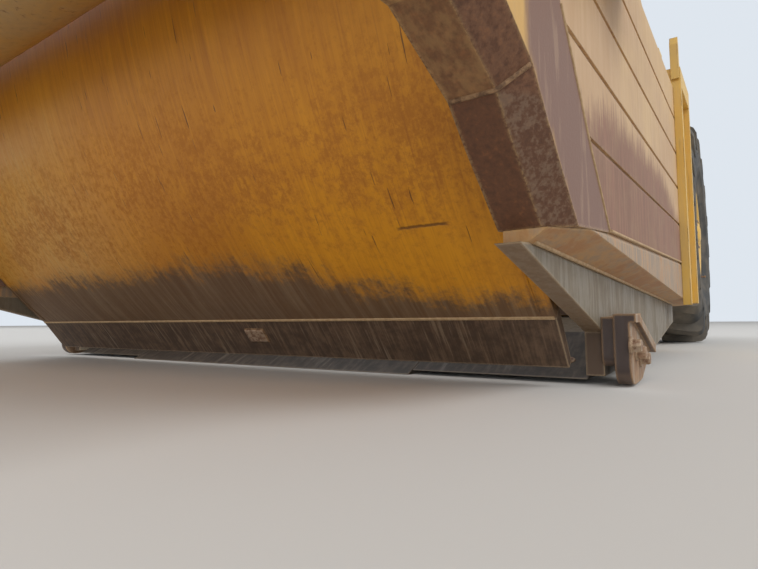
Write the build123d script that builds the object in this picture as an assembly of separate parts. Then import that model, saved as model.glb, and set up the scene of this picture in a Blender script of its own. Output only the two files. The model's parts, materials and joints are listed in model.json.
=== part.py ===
"""Scraper bowl section: the trailing half of a wheel tractor scraper, without its tractor.

Millimetres. X points forward, Y to the left and Z up, with the ground at Z = 0.
The bowl stands lowered, on its cutting edge and its two rear wheels.
"""
from build123d import *
import math
import os

# Rear wheels
TYRE_RADIUS = 875.0
TYRE_WIDTH = 680.0
TYRE_OUTER_Y = 1501.0
TYRE_SIDES = 34
LUG_HEIGHT = 42.0
LUG_WIDTH = 90.0
LUG_LENGTH = 300.0
LUG_SLANT = 22.0
LUG_ROOT = 150.0
RIM_RADIUS = 330.0
RIM_T = 26.0
RIM_DISC_Y = 60.0
HUB_RADIUS = 190.0
AXLE_RADIUS = 130.0
SPINDLE_RADIUS = 80.0
RUNNING_GAP = 0.1
BODY_GAP = 10.0

# Bowl, in the bowl's own frame: x is ahead of the rear axle, z is above the axle's centre
EDGE_X = 3510.0
EDGE_Z = -731.0
INNER_HALF = 1400.0
PLATE_T = 50.0
BOX_DEPTH = 125.0
BOWL_REAR_X = 1680.0
BOWL_TOP_Z = 522.0
FLOOR_RISE = 131.0
FLOOR_T = 106.0
FLOOR_HEEL = 870.0
FLOOR_TAIL = 30.0
FLOOR_PLATE_T = 27.0
BELLY_AHEAD = 170.0
SILL_LENGTH = 230.0
WALL_LOW_FRONT = 26.0
WALL_LOW_REAR = 185.0
PLATE_NOSE = (48.0, -28.0)
SEAMS_Z = (-334.0, -145.0, 36.0, 204.0, 376.0)
SEAM_DEPTH = 7.0
SEAM_HEIGHT = 16.0
EDGE_SLOPE = 24.0
EDGE_T = 38.0
EDGE_CENTRE_HALF = 820.0
EDGE_END_WEAR = 30.0
EDGE_JOINT = 3.0
BIT_T = 40.0
BIT_BLOCK_T = 34.0
BIT_LENGTH = 330.0
BIT_HEIGHT = 195.0
BIT_AHEAD = 20.0
BIT_BLOCK_LIFT = 45.0
BIT_BLOCK_REAR = 120.0
BIT_HOOD_OUT = 16.0

# Front member of each side, a box that sweeps forward to the lift cylinder's eye.
# These places are (ahead of the apron's foremost line, above the axle).
MEMBER_STEP_IN = 10.0
MEMBER_FOLD = 50.0
FOOT = (-120.0, -353.0)
SHIN = (17.0, -223.0)
KNEE = (80.0, -156.0)
SOFFIT = (254.0, -70.0)
LIFT_EYE = (594.0, -10.0)
HORN_ROOT = (-10.0, 150.0)
HORN_TOP = (100.0, 65.0)
MEMBER_TOP_X = -200.0
MEMBER_BACK = ((-127.0, 58.0), (-317.0, -171.0), (-473.0, -336.0))
LIFT_EYE_RADIUS = 75.0
LIFT_FORK_GAP = 60.0
FORK_DEPTH = 210.0

# Rear posts and rear frame
POST_LENGTH = 440.0
POST_HEIGHT = 1150.0
POST_OUT = 35.0
POST_FLANGE = 42.0
POST_TOP_Z = 614.0
FINGER_TOP_Z = 764.0
BEAM_HALF_IN = 480.0
BEAM_HALF_OUT = 640.0
BEAM_REAR_X = -950.0
BEAM_HALF_HEIGHT = 200.0
PUSH_BEAM_DEPTH = 100.0
PUSH_REACH = 1250.0
PUSH_HALF_WIDTH = 420.0
PUSH_HALF_HEIGHT = 300.0
PUSH_BLOCK_T = 60.0

# Apron: a curved face about a pin above each side, folded into a lip near the cutting edge
FOLD_AHEAD = 175.0
FOLD_UP = 195.0
APRON_RADIUS = 1600.0
APRON_T = 30.0
APRON_END_GAP = 10.0
APRON_ARM_T = 40.0
APRON_LOW_ANGLE = -47.3
APRON_TOP_ANGLE = -2.0
LIP_LENGTH = 171.0
LIP_ANGLE = 54.3
LIP_T = 40.0
APRON_PIN_RADIUS = 60.0
APRON_BOSS_RADIUS = 120.0
HORN_RADIUS = 300.0
HORN_ANGLE = 62.0

# Apron cylinders
APRON_ANCHOR = (1750.0, 800.0)
APRON_BARREL_RADIUS = 62.0
APRON_ROD_RADIUS = 30.0
APRON_BARREL_LENGTH = 480.0
APRON_EYE_PIN = 30.0
APRON_EYE_SLACK = 18.0
APRON_EYE_WIDTH = 50.0
APRON_EYE_LEAD = 90.0
APRON_ROD_INSIDE = 400.0
APRON_ROD_NECK = 110.0

# Ejector
EJECTOR_X = 1830.0
EJECTOR_TOP_Z = 480.0
EJECTOR_T = 40.0
EJECTOR_HOLLOW = 60.0
EJECTOR_SIDE_GAP = 15.0
EJECTOR_FLOOR_GAP = 12.0
EJECTOR_STROKE = 1400.0
EJECTOR_DEPTH = 130.0
EJECTOR_EYE_LEAD = 110.0
EJECTOR_EYE_HALF = 60.0
EJECTOR_CYL_Z = 330.0
EJECTOR_BARREL_RADIUS = 105.0
EJECTOR_ROD_RADIUS = 50.0
EJECTOR_BARREL_LENGTH = 1780.0
GLAND_STEP = 14.0
TAIL_REAR_X = -600.0
TAIL_ROLLER_SPAN = 1390.0
TAIL_INNER_Y = 320.0
TAIL_WIDTH = 100.0
TAIL_HEIGHT = 120.0
TIE_LENGTH = 60.0
ROLLER_RADIUS = 55.0

# Draft frame, whose pivot and bracket are placed as the front member is
DRAFT_PIVOT = (-620.0, 480.0)
TRUNNION_RADIUS = 90.0
TRUNNION_COLLAR = 150.0
ARM_GAP = 35.0
ARM_WIDTH = 140.0
ARM_BOSS_RADIUS = 170.0
ARM_EASE = 400.0
TUBE_RADIUS = 200.0
TUBE_CLEARANCE = 52.0
TUBE_ANGLE = -4.5
KINGPIN_AHEAD = 4000.0
KINGPIN_RADIUS = 65.0
EAR_LOW_Z = -56.0
EAR_HIGH_Z = 760.0
EAR_T = 140.0
HITCH_HALF_WIDTH = 190.0
HITCH_BACK = 420.0
HITCH_RISE = 330.0
NECK_HALF_WIDTH = 230.0
NECK_ROOT_HALF = 360.0
NECK_DEPTH = 290.0
NECK_LEVEL_X = 1150.0
NECK_BEND = 420.0
NECK_EASE_LOW = 500.0
NECK_EASE_HIGH = 800.0

# Lift cylinders
LIFT_BRACKET = (594.0, 1064.0)
LIFT_BARREL_RADIUS = 85.0
LIFT_BARREL_LENGTH = 520.0
LIFT_ROD_RADIUS = 42.0
LIFT_PIN_RADIUS = 32.0
LIFT_EYE_SLACK = 7.0
LIFT_EYE_OUTER = 68.0
LIFT_EYE_LEAD = 110.0
LIFT_ROD_INSIDE = 460.0
LIFT_ROD_NECK = 125.0
LIFT_SLEEVE = 6.0
LIFT_CHEEK_T = 50.0

wall_out = INNER_HALF + BOX_DEPTH
member_inner_y = INNER_HALF - MEMBER_STEP_IN
arm_inner_y = wall_out + ARM_GAP
lift_y = (member_inner_y + wall_out) / 2
floor_top = EDGE_Z + FLOOR_RISE
floor_low = floor_top - FLOOR_T
belly_x = BOWL_REAR_X + BELLY_AHEAD
ejector_back_x = EJECTOR_X - EJECTOR_DEPTH
push_beam_x = BEAM_REAR_X - PUSH_BEAM_DEPTH
slope = math.radians(EDGE_SLOPE)
tyre_y = TYRE_OUTER_Y - TYRE_WIDTH / 2
lug_turn = math.radians(LUG_SLANT)
lug_spread = (LUG_LENGTH * math.sin(lug_turn) + LUG_WIDTH * math.cos(lug_turn)) / 2
# Turn that makes a corner of one lug the wheel's lowest point
wheel_turn = math.degrees(math.asin(lug_spread / TYRE_RADIUS))
reach = math.hypot(EDGE_X, EDGE_Z)
# Nose-down angle at which the cutting edge and the tyres all touch the ground
bowl_tilt = math.degrees(math.asin(TYRE_RADIUS / reach) - math.atan2(-EDGE_Z, EDGE_X))


def level(point):
    """Turn an (x, z) place in the bowl's frame into one in a level frame at the axle."""
    turn = math.radians(bowl_tilt)
    x, z = point
    return x * math.cos(turn) + z * math.sin(turn), z * math.cos(turn) - x * math.sin(turn)


def polar(centre, radius, degrees):
    """Give the (x, z) place at a radius and an angle from a centre."""
    turn = math.radians(degrees)
    return centre[0] + radius * math.cos(turn), centre[1] + radius * math.sin(turn)


fold = (EDGE_X + FOLD_AHEAD, EDGE_Z + FOLD_UP)
apron_pivot = polar(fold, APRON_RADIUS, 180 + APRON_LOW_ANGLE)
apron_front = apron_pivot[0] + APRON_RADIUS
tube_centre = polar(apron_pivot, APRON_RADIUS + TUBE_CLEARANCE + TUBE_RADIUS, TUBE_ANGLE)


def fore(point):
    """Turn a place given from the apron's foremost line into the bowl's frame."""
    return apron_front + point[0], point[1]


foot, shin, knee, soffit = fore(FOOT), fore(SHIN), fore(KNEE), fore(SOFFIT)
member_back = [fore(point) for point in MEMBER_BACK]
member_top_x = apron_front + MEMBER_TOP_X
horn_root, horn_top = fore(HORN_ROOT), fore(HORN_TOP)
lift_eye, lift_bracket, draft_pivot = fore(LIFT_EYE), fore(LIFT_BRACKET), fore(DRAFT_PIVOT)


def side_face(points):
    """Draw a closed outline of (x, z) points, on the plane y = 0."""
    return Plane.XZ * Polygon(*points, align=None)


def eased(points, *rounds):
    """Draw a side outline with some corners rounded, each given as (corner's number, radius)."""
    face = Polygon(*points, align=None)
    for number, radius in rounds:
        corner = face.vertices().sort_by_distance((*points[number], 0))[0]
        face = fillet(corner, radius)
    return Plane.XZ * face


def slab(outline, y_low, y_high):
    """Give a side outline its width, from y_low to y_high."""
    face = side_face(outline) if isinstance(outline, list) else outline
    return Pos(0, y_high, 0) * extrude(face, amount=y_high - y_low, dir=(0, -1, 0))


def plate(points, z_low, z_high):
    """Give an outline of (x, y) points its height, from z_low to z_high."""
    return Pos(0, 0, z_low) * extrude(Polygon(*points, align=None), amount=z_high - z_low, dir=(0, 0, 1))


def cross_bar(place, radius, y_low, y_high):
    """Make a round bar across the machine, from y_low to y_high."""
    bar = Cylinder(radius, y_high - y_low, rotation=(90, 0, 0))
    return Pos(place[0], (y_low + y_high) / 2, place[1]) * bar


def sector(centre, inner, outer, low, high):
    """Draw the side outline of part of a ring, between two angles."""
    middle = (low + high) / 2
    outer_arc = ThreePointArc(*[polar(centre, outer, angle) for angle in (low, middle, high)])
    inner_arc = ThreePointArc(*[polar(centre, inner, angle) for angle in (high, middle, low)])
    ends = [Line(outer_arc @ 1, inner_arc @ 0), Line(inner_arc @ 1, outer_arc @ 0)]
    return Plane.XZ * make_face([outer_arc, ends[0], inner_arc, ends[1]])


def turned(profile):
    """Make a many-sided body about the wheel's axis from (radius, y) places."""
    rings = [Pos(0, 0, -y) * RegularPolygon(radius, TYRE_SIDES) for radius, y in profile]
    return Rot(90, 0, 0) * loft(rings, ruled=True)


def both_sides(left):
    """Give a left piece and its mirror image."""
    return {"left": left, "right": mirror(left, about=Plane.XZ)}


def bowl_floor():
    """Floor box, with its front ramp under the cutting edges."""
    back_x = EDGE_X - FLOOR_RISE / math.tan(slope)
    step_x = back_x - EDGE_T * math.sin(slope)
    step_z = floor_top - EDGE_T * math.cos(slope)
    toe_x = step_x + (step_z - floor_low) / math.tan(slope)
    heel_x = BOWL_REAR_X + FLOOR_HEEL
    rear_x = BOWL_REAR_X - FLOOR_TAIL
    under_z = floor_top - FLOOR_PLATE_T
    outline = [(rear_x, floor_top), (back_x, floor_top), (step_x, step_z), (toe_x, floor_low),
               (heel_x, floor_low), (belly_x, under_z), (rear_x, under_z)]
    return slab(outline, -INNER_HALF, INNER_HALF)


def cutting_edge(y_low, y_high, worn):
    """One section of the cutting edge, its tip worn back, and flat along the ground under it."""
    back_x = EDGE_X - FLOOR_RISE / math.tan(slope)
    under_x = back_x - EDGE_T * math.sin(slope)
    under_z = floor_top - EDGE_T * math.cos(slope)
    tip_x = EDGE_X - worn * math.cos(slope)
    tip_z = EDGE_Z + worn * math.sin(slope)
    rise, fall = math.tan(slope), math.tan(math.radians(bowl_tilt))
    heel_x = (under_z - tip_z + under_x * rise + tip_x * fall) / (rise + fall)
    heel_z = tip_z - (tip_x - heel_x) * fall
    outline = [(back_x, floor_top), (tip_x, tip_z), (heel_x, heel_z), (under_x, under_z)]
    return slab(outline, y_low, y_high)


def side_plate():
    """Lower side plate, whose tip reaches ahead of the cutting edge."""
    front_x = EDGE_X - 20
    outline = [(foot[0] + PLATE_NOSE[0], foot[1] + PLATE_NOSE[1]), (foot[0], foot[1] - WALL_LOW_FRONT),
               (belly_x, foot[1] - WALL_LOW_REAR), (belly_x, floor_low + 80),
               (BOWL_REAR_X + FLOOR_HEEL, floor_low), (front_x, floor_low), (front_x, EDGE_Z + 148)]
    return slab(outline, INNER_HALF, INNER_HALF + PLATE_T)


def wall_section(x, inner_z, outer_z):
    """Cross-section of the box wall at one place along the bowl."""
    points = [(INNER_HALF, inner_z), (INNER_HALF + PLATE_T, inner_z), (wall_out, outer_z),
              (wall_out, BOWL_TOP_Z), (INNER_HALF, BOWL_TOP_Z)]
    return Plane(origin=(x, 0, 0), x_dir=(0, 1, 0), z_dir=(1, 0, 0)) * Polygon(*points, align=None)


def bowl_wall():
    """Box wall with lapped panels, a sloped underside, the apron's pin and the draft frame's trunnion."""
    fall_in = (WALL_LOW_FRONT - WALL_LOW_REAR) / (belly_x - foot[0])
    sections = []
    for x, outer_z in ((BOWL_REAR_X, -543.0), (foot[0] + 100, -321.0)):
        inner_z = foot[1] - WALL_LOW_FRONT + (x - foot[0]) * fall_in
        sections.append(wall_section(x, inner_z, outer_z))
    wall = loft(sections, ruled=True)
    front = [(BOWL_REAR_X, EDGE_Z), (foot[0], EDGE_Z), foot, *reversed(member_back),
             (member_top_x, BOWL_TOP_Z), (BOWL_REAR_X, BOWL_TOP_Z)]
    wall &= slab(front, INNER_HALF, wall_out)
    for z in SEAMS_Z:
        groove = [(wall_out + 1, z), (wall_out - SEAM_DEPTH, z), (wall_out + 1, z - SEAM_HEIGHT)]
        start = Plane(origin=(BOWL_REAR_X - 10, 0, 0), x_dir=(0, 1, 0), z_dir=(1, 0, 0))
        lap = start * Polygon(*groove, align=None)
        wall -= extrude(lap, amount=foot[0] - BOWL_REAR_X + 200, dir=(1, 0, 0))
    px, pz = apron_pivot
    ear = [(px - 260, BOWL_TOP_Z), (px + 260, BOWL_TOP_Z), (px + 95, pz + 80), (px - 95, pz + 80)]
    wall += slab(ear, INNER_HALF, INNER_HALF + APRON_ARM_T)
    wall += cross_bar(apron_pivot, APRON_BOSS_RADIUS, INNER_HALF, INNER_HALF + APRON_ARM_T + 25)
    wall += cross_bar(apron_pivot, APRON_PIN_RADIUS, apron_arm_low - 8, INNER_HALF + 5)
    wall += cross_bar(draft_pivot, TRUNNION_COLLAR, INNER_HALF + 40, arm_inner_y - 1)
    wall += cross_bar(draft_pivot, TRUNNION_RADIUS, wall_out, arm_inner_y + ARM_WIDTH + 30)
    return wall


def front_member():
    """Front member with the horn and fork that the lift cylinder's eye sits in."""
    eye_x, eye_z = lift_eye
    corner = [foot, shin, knee, soffit, (eye_x - 20, eye_z - LIFT_EYE_RADIUS + 3)]
    outline = [*corner, (eye_x, eye_z + LIFT_EYE_RADIUS), horn_top, horn_root,
               (horn_root[0] - 20, BOWL_TOP_Z), (member_top_x, BOWL_TOP_Z), *member_back]
    member = slab(outline, member_inner_y, wall_out)
    edges = []
    for start, end in zip(corner, corner[1:]):
        middle = ((start[0] + end[0]) / 2, wall_out, (start[1] + end[1]) / 2)
        edges.append(member.edges().sort_by_distance(middle)[0])
    member = chamfer(edges, MEMBER_FOLD)
    member += cross_bar(lift_eye, LIFT_EYE_RADIUS, member_inner_y, wall_out)
    slot = Box(FORK_DEPTH + 200, LIFT_FORK_GAP, 400)
    member -= Pos(eye_x - FORK_DEPTH + 310 - 105, lift_y, eye_z) * slot
    member += cross_bar(lift_eye, LIFT_PIN_RADIUS, member_inner_y, wall_out)
    return member


def router_bit():
    """Bolt-on side cutter: a block on the side plate, and a tongue with a round nose and a hood on it."""
    top_z = EDGE_Z + BIT_HEIGHT
    low_z = EDGE_Z + 5
    front_x = EDGE_X + BIT_AHEAD
    rear_x = front_x - BIT_LENGTH
    block_low = low_z + BIT_BLOCK_LIFT
    block_x = rear_x - BIT_BLOCK_REAR
    block = [(front_x - 14, top_z - 6), (front_x - 14, block_low), (block_x, block_low + 60),
             (block_x, top_z - 10)]
    tongue = [(front_x, top_z), (front_x, low_z), (front_x - 170, low_z), (rear_x, low_z + 70),
              (rear_x, top_z - 105), (front_x - 60, top_z)]
    hood = [(front_x, top_z + 2), (front_x, top_z - 20), (front_x - 66, top_z - 22),
            (rear_x - 6, top_z - 128), (rear_x - 6, top_z - 103), (front_x - 60, top_z + 2)]
    inner_y = INNER_HALF + PLATE_T
    block_y = inner_y + BIT_BLOCK_T
    bit = slab(eased(block, (1, 30)), inner_y, block_y)
    bit += slab(eased(tongue, (1, 60), (2, 90)), block_y, block_y + BIT_T)
    return bit + slab(hood, block_y, block_y + BIT_T + BIT_HOOD_OUT)


def rear_post():
    """Rear post of each side: two flanges, a web, a cap, the finger and the apron cylinder's pin."""
    front_x = BOWL_REAR_X + POST_LENGTH
    low_z = POST_TOP_Z - POST_HEIGHT
    post = Part()
    for x in (BOWL_REAR_X, front_x - POST_FLANGE):
        flange = [(x, low_z), (x + POST_FLANGE, low_z), (x + POST_FLANGE, POST_TOP_Z), (x, POST_TOP_Z)]
        post += slab(flange, wall_out, wall_out + POST_OUT)
    web = [(BOWL_REAR_X, low_z), (front_x, low_z), (front_x, POST_TOP_Z), (BOWL_REAR_X, POST_TOP_Z)]
    post += slab(web, wall_out, wall_out + 10)
    cap = [(BOWL_REAR_X, BOWL_TOP_Z), (front_x, BOWL_TOP_Z), (front_x, POST_TOP_Z), (BOWL_REAR_X, POST_TOP_Z)]
    post += slab(cap, INNER_HALF, wall_out + POST_OUT)
    finger = [(front_x - 60, POST_TOP_Z - 20), (front_x + 18, POST_TOP_Z - 60),
              (front_x + 18, FINGER_TOP_Z - 40), (front_x - 4, FINGER_TOP_Z),
              (front_x - 26, FINGER_TOP_Z - 40), (front_x - 26, POST_TOP_Z + 30)]
    post += slab(finger, wall_out - 5, wall_out + POST_OUT - 5)
    ax, az = APRON_ANCHOR
    lug = [(ax - 120, POST_TOP_Z), (ax + 160, POST_TOP_Z), (ax + 60, az + 60), (ax - 60, az + 60)]
    post += slab(lug, INNER_HALF, INNER_HALF + APRON_ARM_T)
    post += cross_bar(APRON_ANCHOR, APRON_EYE_PIN, apron_arm_low - 8, INNER_HALF + 5)
    return post


def rear_sill(beam):
    """Cross beam under the ejector, from one side beam of the rear frame to the other."""
    x_low, x_high = BOWL_REAR_X - SILL_LENGTH, BOWL_REAR_X - FLOOR_TAIL
    top_z = -330
    outline = [(x_low, floor_low + 85), (x_high, floor_top - FLOOR_PLATE_T), (x_high, top_z), (x_low, top_z)]
    return slab(outline, -INNER_HALF, INNER_HALF) - beam - mirror(beam, about=Plane.XZ)


def rear_beam():
    """Side beam of the rear frame, drawn in plan and cut to its side outline."""
    plan = [(BOWL_REAR_X, wall_out), (BOWL_REAR_X, INNER_HALF), (BOWL_REAR_X - SILL_LENGTH, INNER_HALF - 60),
            (950, BEAM_HALF_IN), (BEAM_REAR_X, BEAM_HALF_IN), (BEAM_REAR_X, BEAM_HALF_OUT),
            (900, BEAM_HALF_OUT), (1380, wall_out)]
    side = [(BOWL_REAR_X, -500), (BOWL_REAR_X, BOWL_TOP_Z - 60), (1380, BOWL_TOP_Z - 60), (850, 250),
            (BEAM_REAR_X, BEAM_HALF_HEIGHT), (BEAM_REAR_X, -BEAM_HALF_HEIGHT), (850, -250), (1380, -500)]
    beam = plate(plan, -600, 600) & slab(side, 0, wall_out + 10)
    rail_top = EJECTOR_CYL_Z - TAIL_HEIGHT / 2 - ROLLER_RADIUS + 20
    beam -= cross_bar((0, 0), AXLE_RADIUS + 0.3, 0, BEAM_HALF_OUT + 10)
    rail_x = TAIL_REAR_X - 80
    rail = [(rail_x, rail_top - 60), (950, rail_top - 60), (950, rail_top), (rail_x, rail_top)]
    return beam + slab(rail, BEAM_HALF_IN - 45, BEAM_HALF_IN + 5)


def axle():
    """Axle tube with its two spindles."""
    tube = cross_bar((0, 0), AXLE_RADIUS, -hub_inner_y + BODY_GAP, hub_inner_y - BODY_GAP)
    return tube + cross_bar((0, 0), SPINDLE_RADIUS, -TYRE_OUTER_Y + 90, TYRE_OUTER_Y - 90)


def push_frame():
    """Rear cross beam, with the stem and gussets behind it and the lugs of the ejector cylinder."""
    x_low, high = push_beam_x, BEAM_HALF_HEIGHT
    outline = [(x_low, -high), (BEAM_REAR_X, -high), (BEAM_REAR_X, high), (x_low, high)]
    frame = slab(outline, -BEAM_HALF_OUT, BEAM_HALF_OUT)
    stem_x = -PUSH_REACH + PUSH_BLOCK_T
    half = PUSH_HALF_WIDTH - 120
    stem = [(stem_x, -high + 40), (x_low, -high), (x_low, high), (stem_x, high - 40)]
    frame += slab(stem, -half, half)
    gusset = [(x_low, -half), (stem_x, -half), (stem_x, -PUSH_HALF_WIDTH + 20), (x_low, -BEAM_HALF_OUT + 60)]
    for z in (-130, 90):
        for side in (-1, 1):
            points = [(x, side * y) for x, y in gusset]
            frame += plate(points, z, z + 40)
    lug = [(x_low, high), (BEAM_REAR_X, high), (ejector_pin_x + 60, EJECTOR_CYL_Z - 40),
           (ejector_pin_x + 60, EJECTOR_CYL_Z + 70), (ejector_pin_x - 60, EJECTOR_CYL_Z + 70)]
    for y in (60, -100):
        frame += slab(lug, y, y + 40)
    return frame


def push_block():
    """Push block: a thick plate, cut back at its top and bottom, on the end of the stem."""
    x_low = -PUSH_REACH
    x_high = x_low + PUSH_BLOCK_T
    outline = [(x_low, -PUSH_HALF_HEIGHT + 60), (x_high, -PUSH_HALF_HEIGHT), (x_high, PUSH_HALF_HEIGHT),
               (x_low, PUSH_HALF_HEIGHT - 60)]
    plan = [(x_low, -PUSH_HALF_WIDTH + 60), (x_high, -PUSH_HALF_WIDTH), (x_high, PUSH_HALF_WIDTH),
            (x_low, PUSH_HALF_WIDTH - 60)]
    return slab(outline, -PUSH_HALF_WIDTH, PUSH_HALF_WIDTH) & plate(plan, -PUSH_HALF_HEIGHT, PUSH_HALF_HEIGHT)


def ejector_barrel():
    """Ejector cylinder's barrel, from its rear pin to its gland."""
    rear_x = ejector_pin_x + EJECTOR_EYE_LEAD
    half = EJECTOR_EYE_HALF
    tube = Pos(rear_x + EJECTOR_BARREL_LENGTH / 2, 0, EJECTOR_CYL_Z) * Cylinder(
        EJECTOR_BARREL_RADIUS, EJECTOR_BARREL_LENGTH, rotation=(0, 90, 0))
    gland = Pos(rear_x + EJECTOR_BARREL_LENGTH - 40, 0, EJECTOR_CYL_Z) * Cylinder(
        EJECTOR_BARREL_RADIUS + GLAND_STEP, 80, rotation=(0, 90, 0))
    outline = [(ejector_pin_x, EJECTOR_CYL_Z - half), (rear_x + 5, EJECTOR_CYL_Z - half),
               (rear_x + 5, EJECTOR_CYL_Z + half), (ejector_pin_x, EJECTOR_CYL_Z + half)]
    eye = slab(outline, 1 - half, half - 1)
    eye += cross_bar((ejector_pin_x, EJECTOR_CYL_Z), half, 1 - half, half - 1)
    bore = Pos(rear_x + EJECTOR_BARREL_LENGTH / 2 + 60, 0, EJECTOR_CYL_Z) * Cylinder(
        EJECTOR_ROD_RADIUS + RUNNING_GAP, EJECTOR_BARREL_LENGTH, rotation=(0, 90, 0))
    return tube + gland + eye - bore


def ejector_rod():
    """Ejector cylinder's rod, up to the ejector's back."""
    length = EJECTOR_STROKE + 90
    rod = Cylinder(EJECTOR_ROD_RADIUS, length, rotation=(0, 90, 0))
    return Pos(ejector_back_x - length / 2, 0, EJECTOR_CYL_Z) * rod


def ejector_blade():
    """Hollow-ground ejector face with ribs, two cross boxes and a top flange behind it."""
    low_z = floor_top + EJECTOR_FLOOR_GAP
    mid_z = (low_z + EJECTOR_TOP_Z) / 2
    half = INNER_HALF - EJECTOR_SIDE_GAP
    hollow_x, back_x = EJECTOR_X - EJECTOR_HOLLOW, EJECTOR_X - EJECTOR_T
    front = ThreePointArc((EJECTOR_X, low_z), (hollow_x, mid_z), (EJECTOR_X, EJECTOR_TOP_Z))
    back = ThreePointArc((back_x, EJECTOR_TOP_Z), (hollow_x - EJECTOR_T, mid_z), (back_x, low_z))
    profile = [front, Line(front @ 1, back @ 0), back, Line(back @ 1, front @ 0)]
    blade = slab(Plane.XZ * make_face(profile), -half, half)
    rear_x = ejector_back_x
    for z in (low_z + 330, EJECTOR_CYL_Z):
        box = [(rear_x, z - 60), (EJECTOR_X - 70, z - 60), (EJECTOR_X - 70, z + 60), (rear_x, z + 60)]
        blade += slab(box, -half + 60, half - 60)
    flange = [(rear_x + 20, EJECTOR_TOP_Z - 40), (EJECTOR_X - 20, EJECTOR_TOP_Z - 40),
              (EJECTOR_X - 20, EJECTOR_TOP_Z), (rear_x + 20, EJECTOR_TOP_Z)]
    blade += slab(flange, -half, half)
    for y in (-half + 40, -half / 3, half / 3 - 30, half - 70):
        rib = [(rear_x + 20, low_z + 300), (EJECTOR_X - 70, low_z + 60), (EJECTOR_X - 70, EJECTOR_TOP_Z - 20),
               (rear_x + 20, EJECTOR_TOP_Z - 20)]
        blade += slab(rib, y, y + 30)
    return blade


def ejector_tail():
    """Two tail beams that carry the ejector on rollers inside the rear frame."""
    front_x = ejector_back_x
    low_z = EJECTOR_CYL_Z - TAIL_HEIGHT / 2
    tail = Part()
    for side in (-1, 1):
        y_low, y_high = sorted((side * TAIL_INNER_Y, side * (TAIL_INNER_Y + TAIL_WIDTH)))
        beam = [(TAIL_REAR_X, low_z), (front_x, low_z), (front_x, low_z + TAIL_HEIGHT),
                (TAIL_REAR_X, low_z + TAIL_HEIGHT)]
        tail += slab(beam, y_low, y_high)
        for x in (TAIL_REAR_X + 60, TAIL_REAR_X + 60 + TAIL_ROLLER_SPAN):
            place = (x, low_z + 20.3)
            inside, outside = side * (TAIL_INNER_Y + TAIL_WIDTH - 10), side * (BEAM_HALF_IN - 5)
            tail += cross_bar(place, ROLLER_RADIUS, min(inside, outside), max(inside, outside))
    tie_low = EJECTOR_CYL_Z + EJECTOR_BARREL_RADIUS + GLAND_STEP + BODY_GAP
    half = TAIL_INNER_Y + TAIL_WIDTH
    for x in (TAIL_REAR_X, front_x - TIE_LENGTH):
        end, beam_top, tie_top = x + TIE_LENGTH, low_z + TAIL_HEIGHT, tie_low + 40
        portal = [(x, beam_top), (end, beam_top), (end, tie_top), (x, tie_top)]
        under = [(x - 10, low_z), (end + 10, low_z), (end + 10, tie_low), (x - 10, tie_low)]
        tail += slab(portal, -half, half) - slab(under, -TAIL_INNER_Y, TAIL_INNER_Y)
    return tail


def apron_shell():
    """Curved apron face with two box ribs behind it."""
    half = apron_arm_low
    face = sector(apron_pivot, APRON_RADIUS - APRON_T, APRON_RADIUS, APRON_LOW_ANGLE, APRON_TOP_ANGLE)
    shell = slab(face, -half, half)
    for angle in (-40.0, -24.0, -7.0):
        rib = sector(apron_pivot, APRON_RADIUS - 130, APRON_RADIUS - APRON_T + 5, angle - 2.2, angle + 2.2)
        shell += slab(rib, -half, half)
    return shell


def apron_lip():
    """Lip plate that runs down and back from the fold to the cutting edge."""
    turn = math.radians(LIP_ANGLE)
    tip = (fold[0] - LIP_LENGTH * math.cos(turn), fold[1] - LIP_LENGTH * math.sin(turn))
    inner = polar(apron_pivot, APRON_RADIUS - LIP_T, APRON_LOW_ANGLE)
    shift = (-LIP_T * math.sin(turn), LIP_T * math.cos(turn))
    outline = [fold, tip, (tip[0] + shift[0] * 0.7, tip[1] + shift[1] * 0.7), inner]
    return slab(outline, -apron_arm_high, apron_arm_high)


def apron_arm():
    """End plate of the apron, its arm up to the pin, and the horn for the cylinder."""
    px, pz = apron_pivot
    end = sector(apron_pivot, APRON_RADIUS - 220, APRON_RADIUS, APRON_LOW_ANGLE, APRON_TOP_ANGLE)
    arm = slab(end, apron_arm_low, apron_arm_high)
    top = polar(apron_pivot, APRON_RADIUS - 60, APRON_TOP_ANGLE)
    low = polar(apron_pivot, APRON_RADIUS - 200, -14.0)
    tip = polar(apron_pivot, HORN_RADIUS, HORN_ANGLE)
    beam = [(px, pz - APRON_BOSS_RADIUS + 10), (px + 700, pz - APRON_BOSS_RADIUS + 10), low, top,
            (px + 900, pz + 120), (tip[0] + 60, tip[1] - 20), tip, (px - 60, pz + 80)]
    arm += slab(beam, apron_arm_low, apron_arm_high)
    arm += cross_bar(apron_pivot, APRON_BOSS_RADIUS - 8, apron_arm_low, apron_arm_high)
    arm += cross_bar(tip, 62, apron_arm_low, apron_arm_high)
    arm += cross_bar(tip, APRON_EYE_PIN, apron_arm_low - 60, apron_arm_low + 5)
    bore = APRON_PIN_RADIUS + RUNNING_GAP
    return arm - cross_bar(apron_pivot, bore, apron_arm_low - 70, apron_arm_high + 10)


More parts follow.
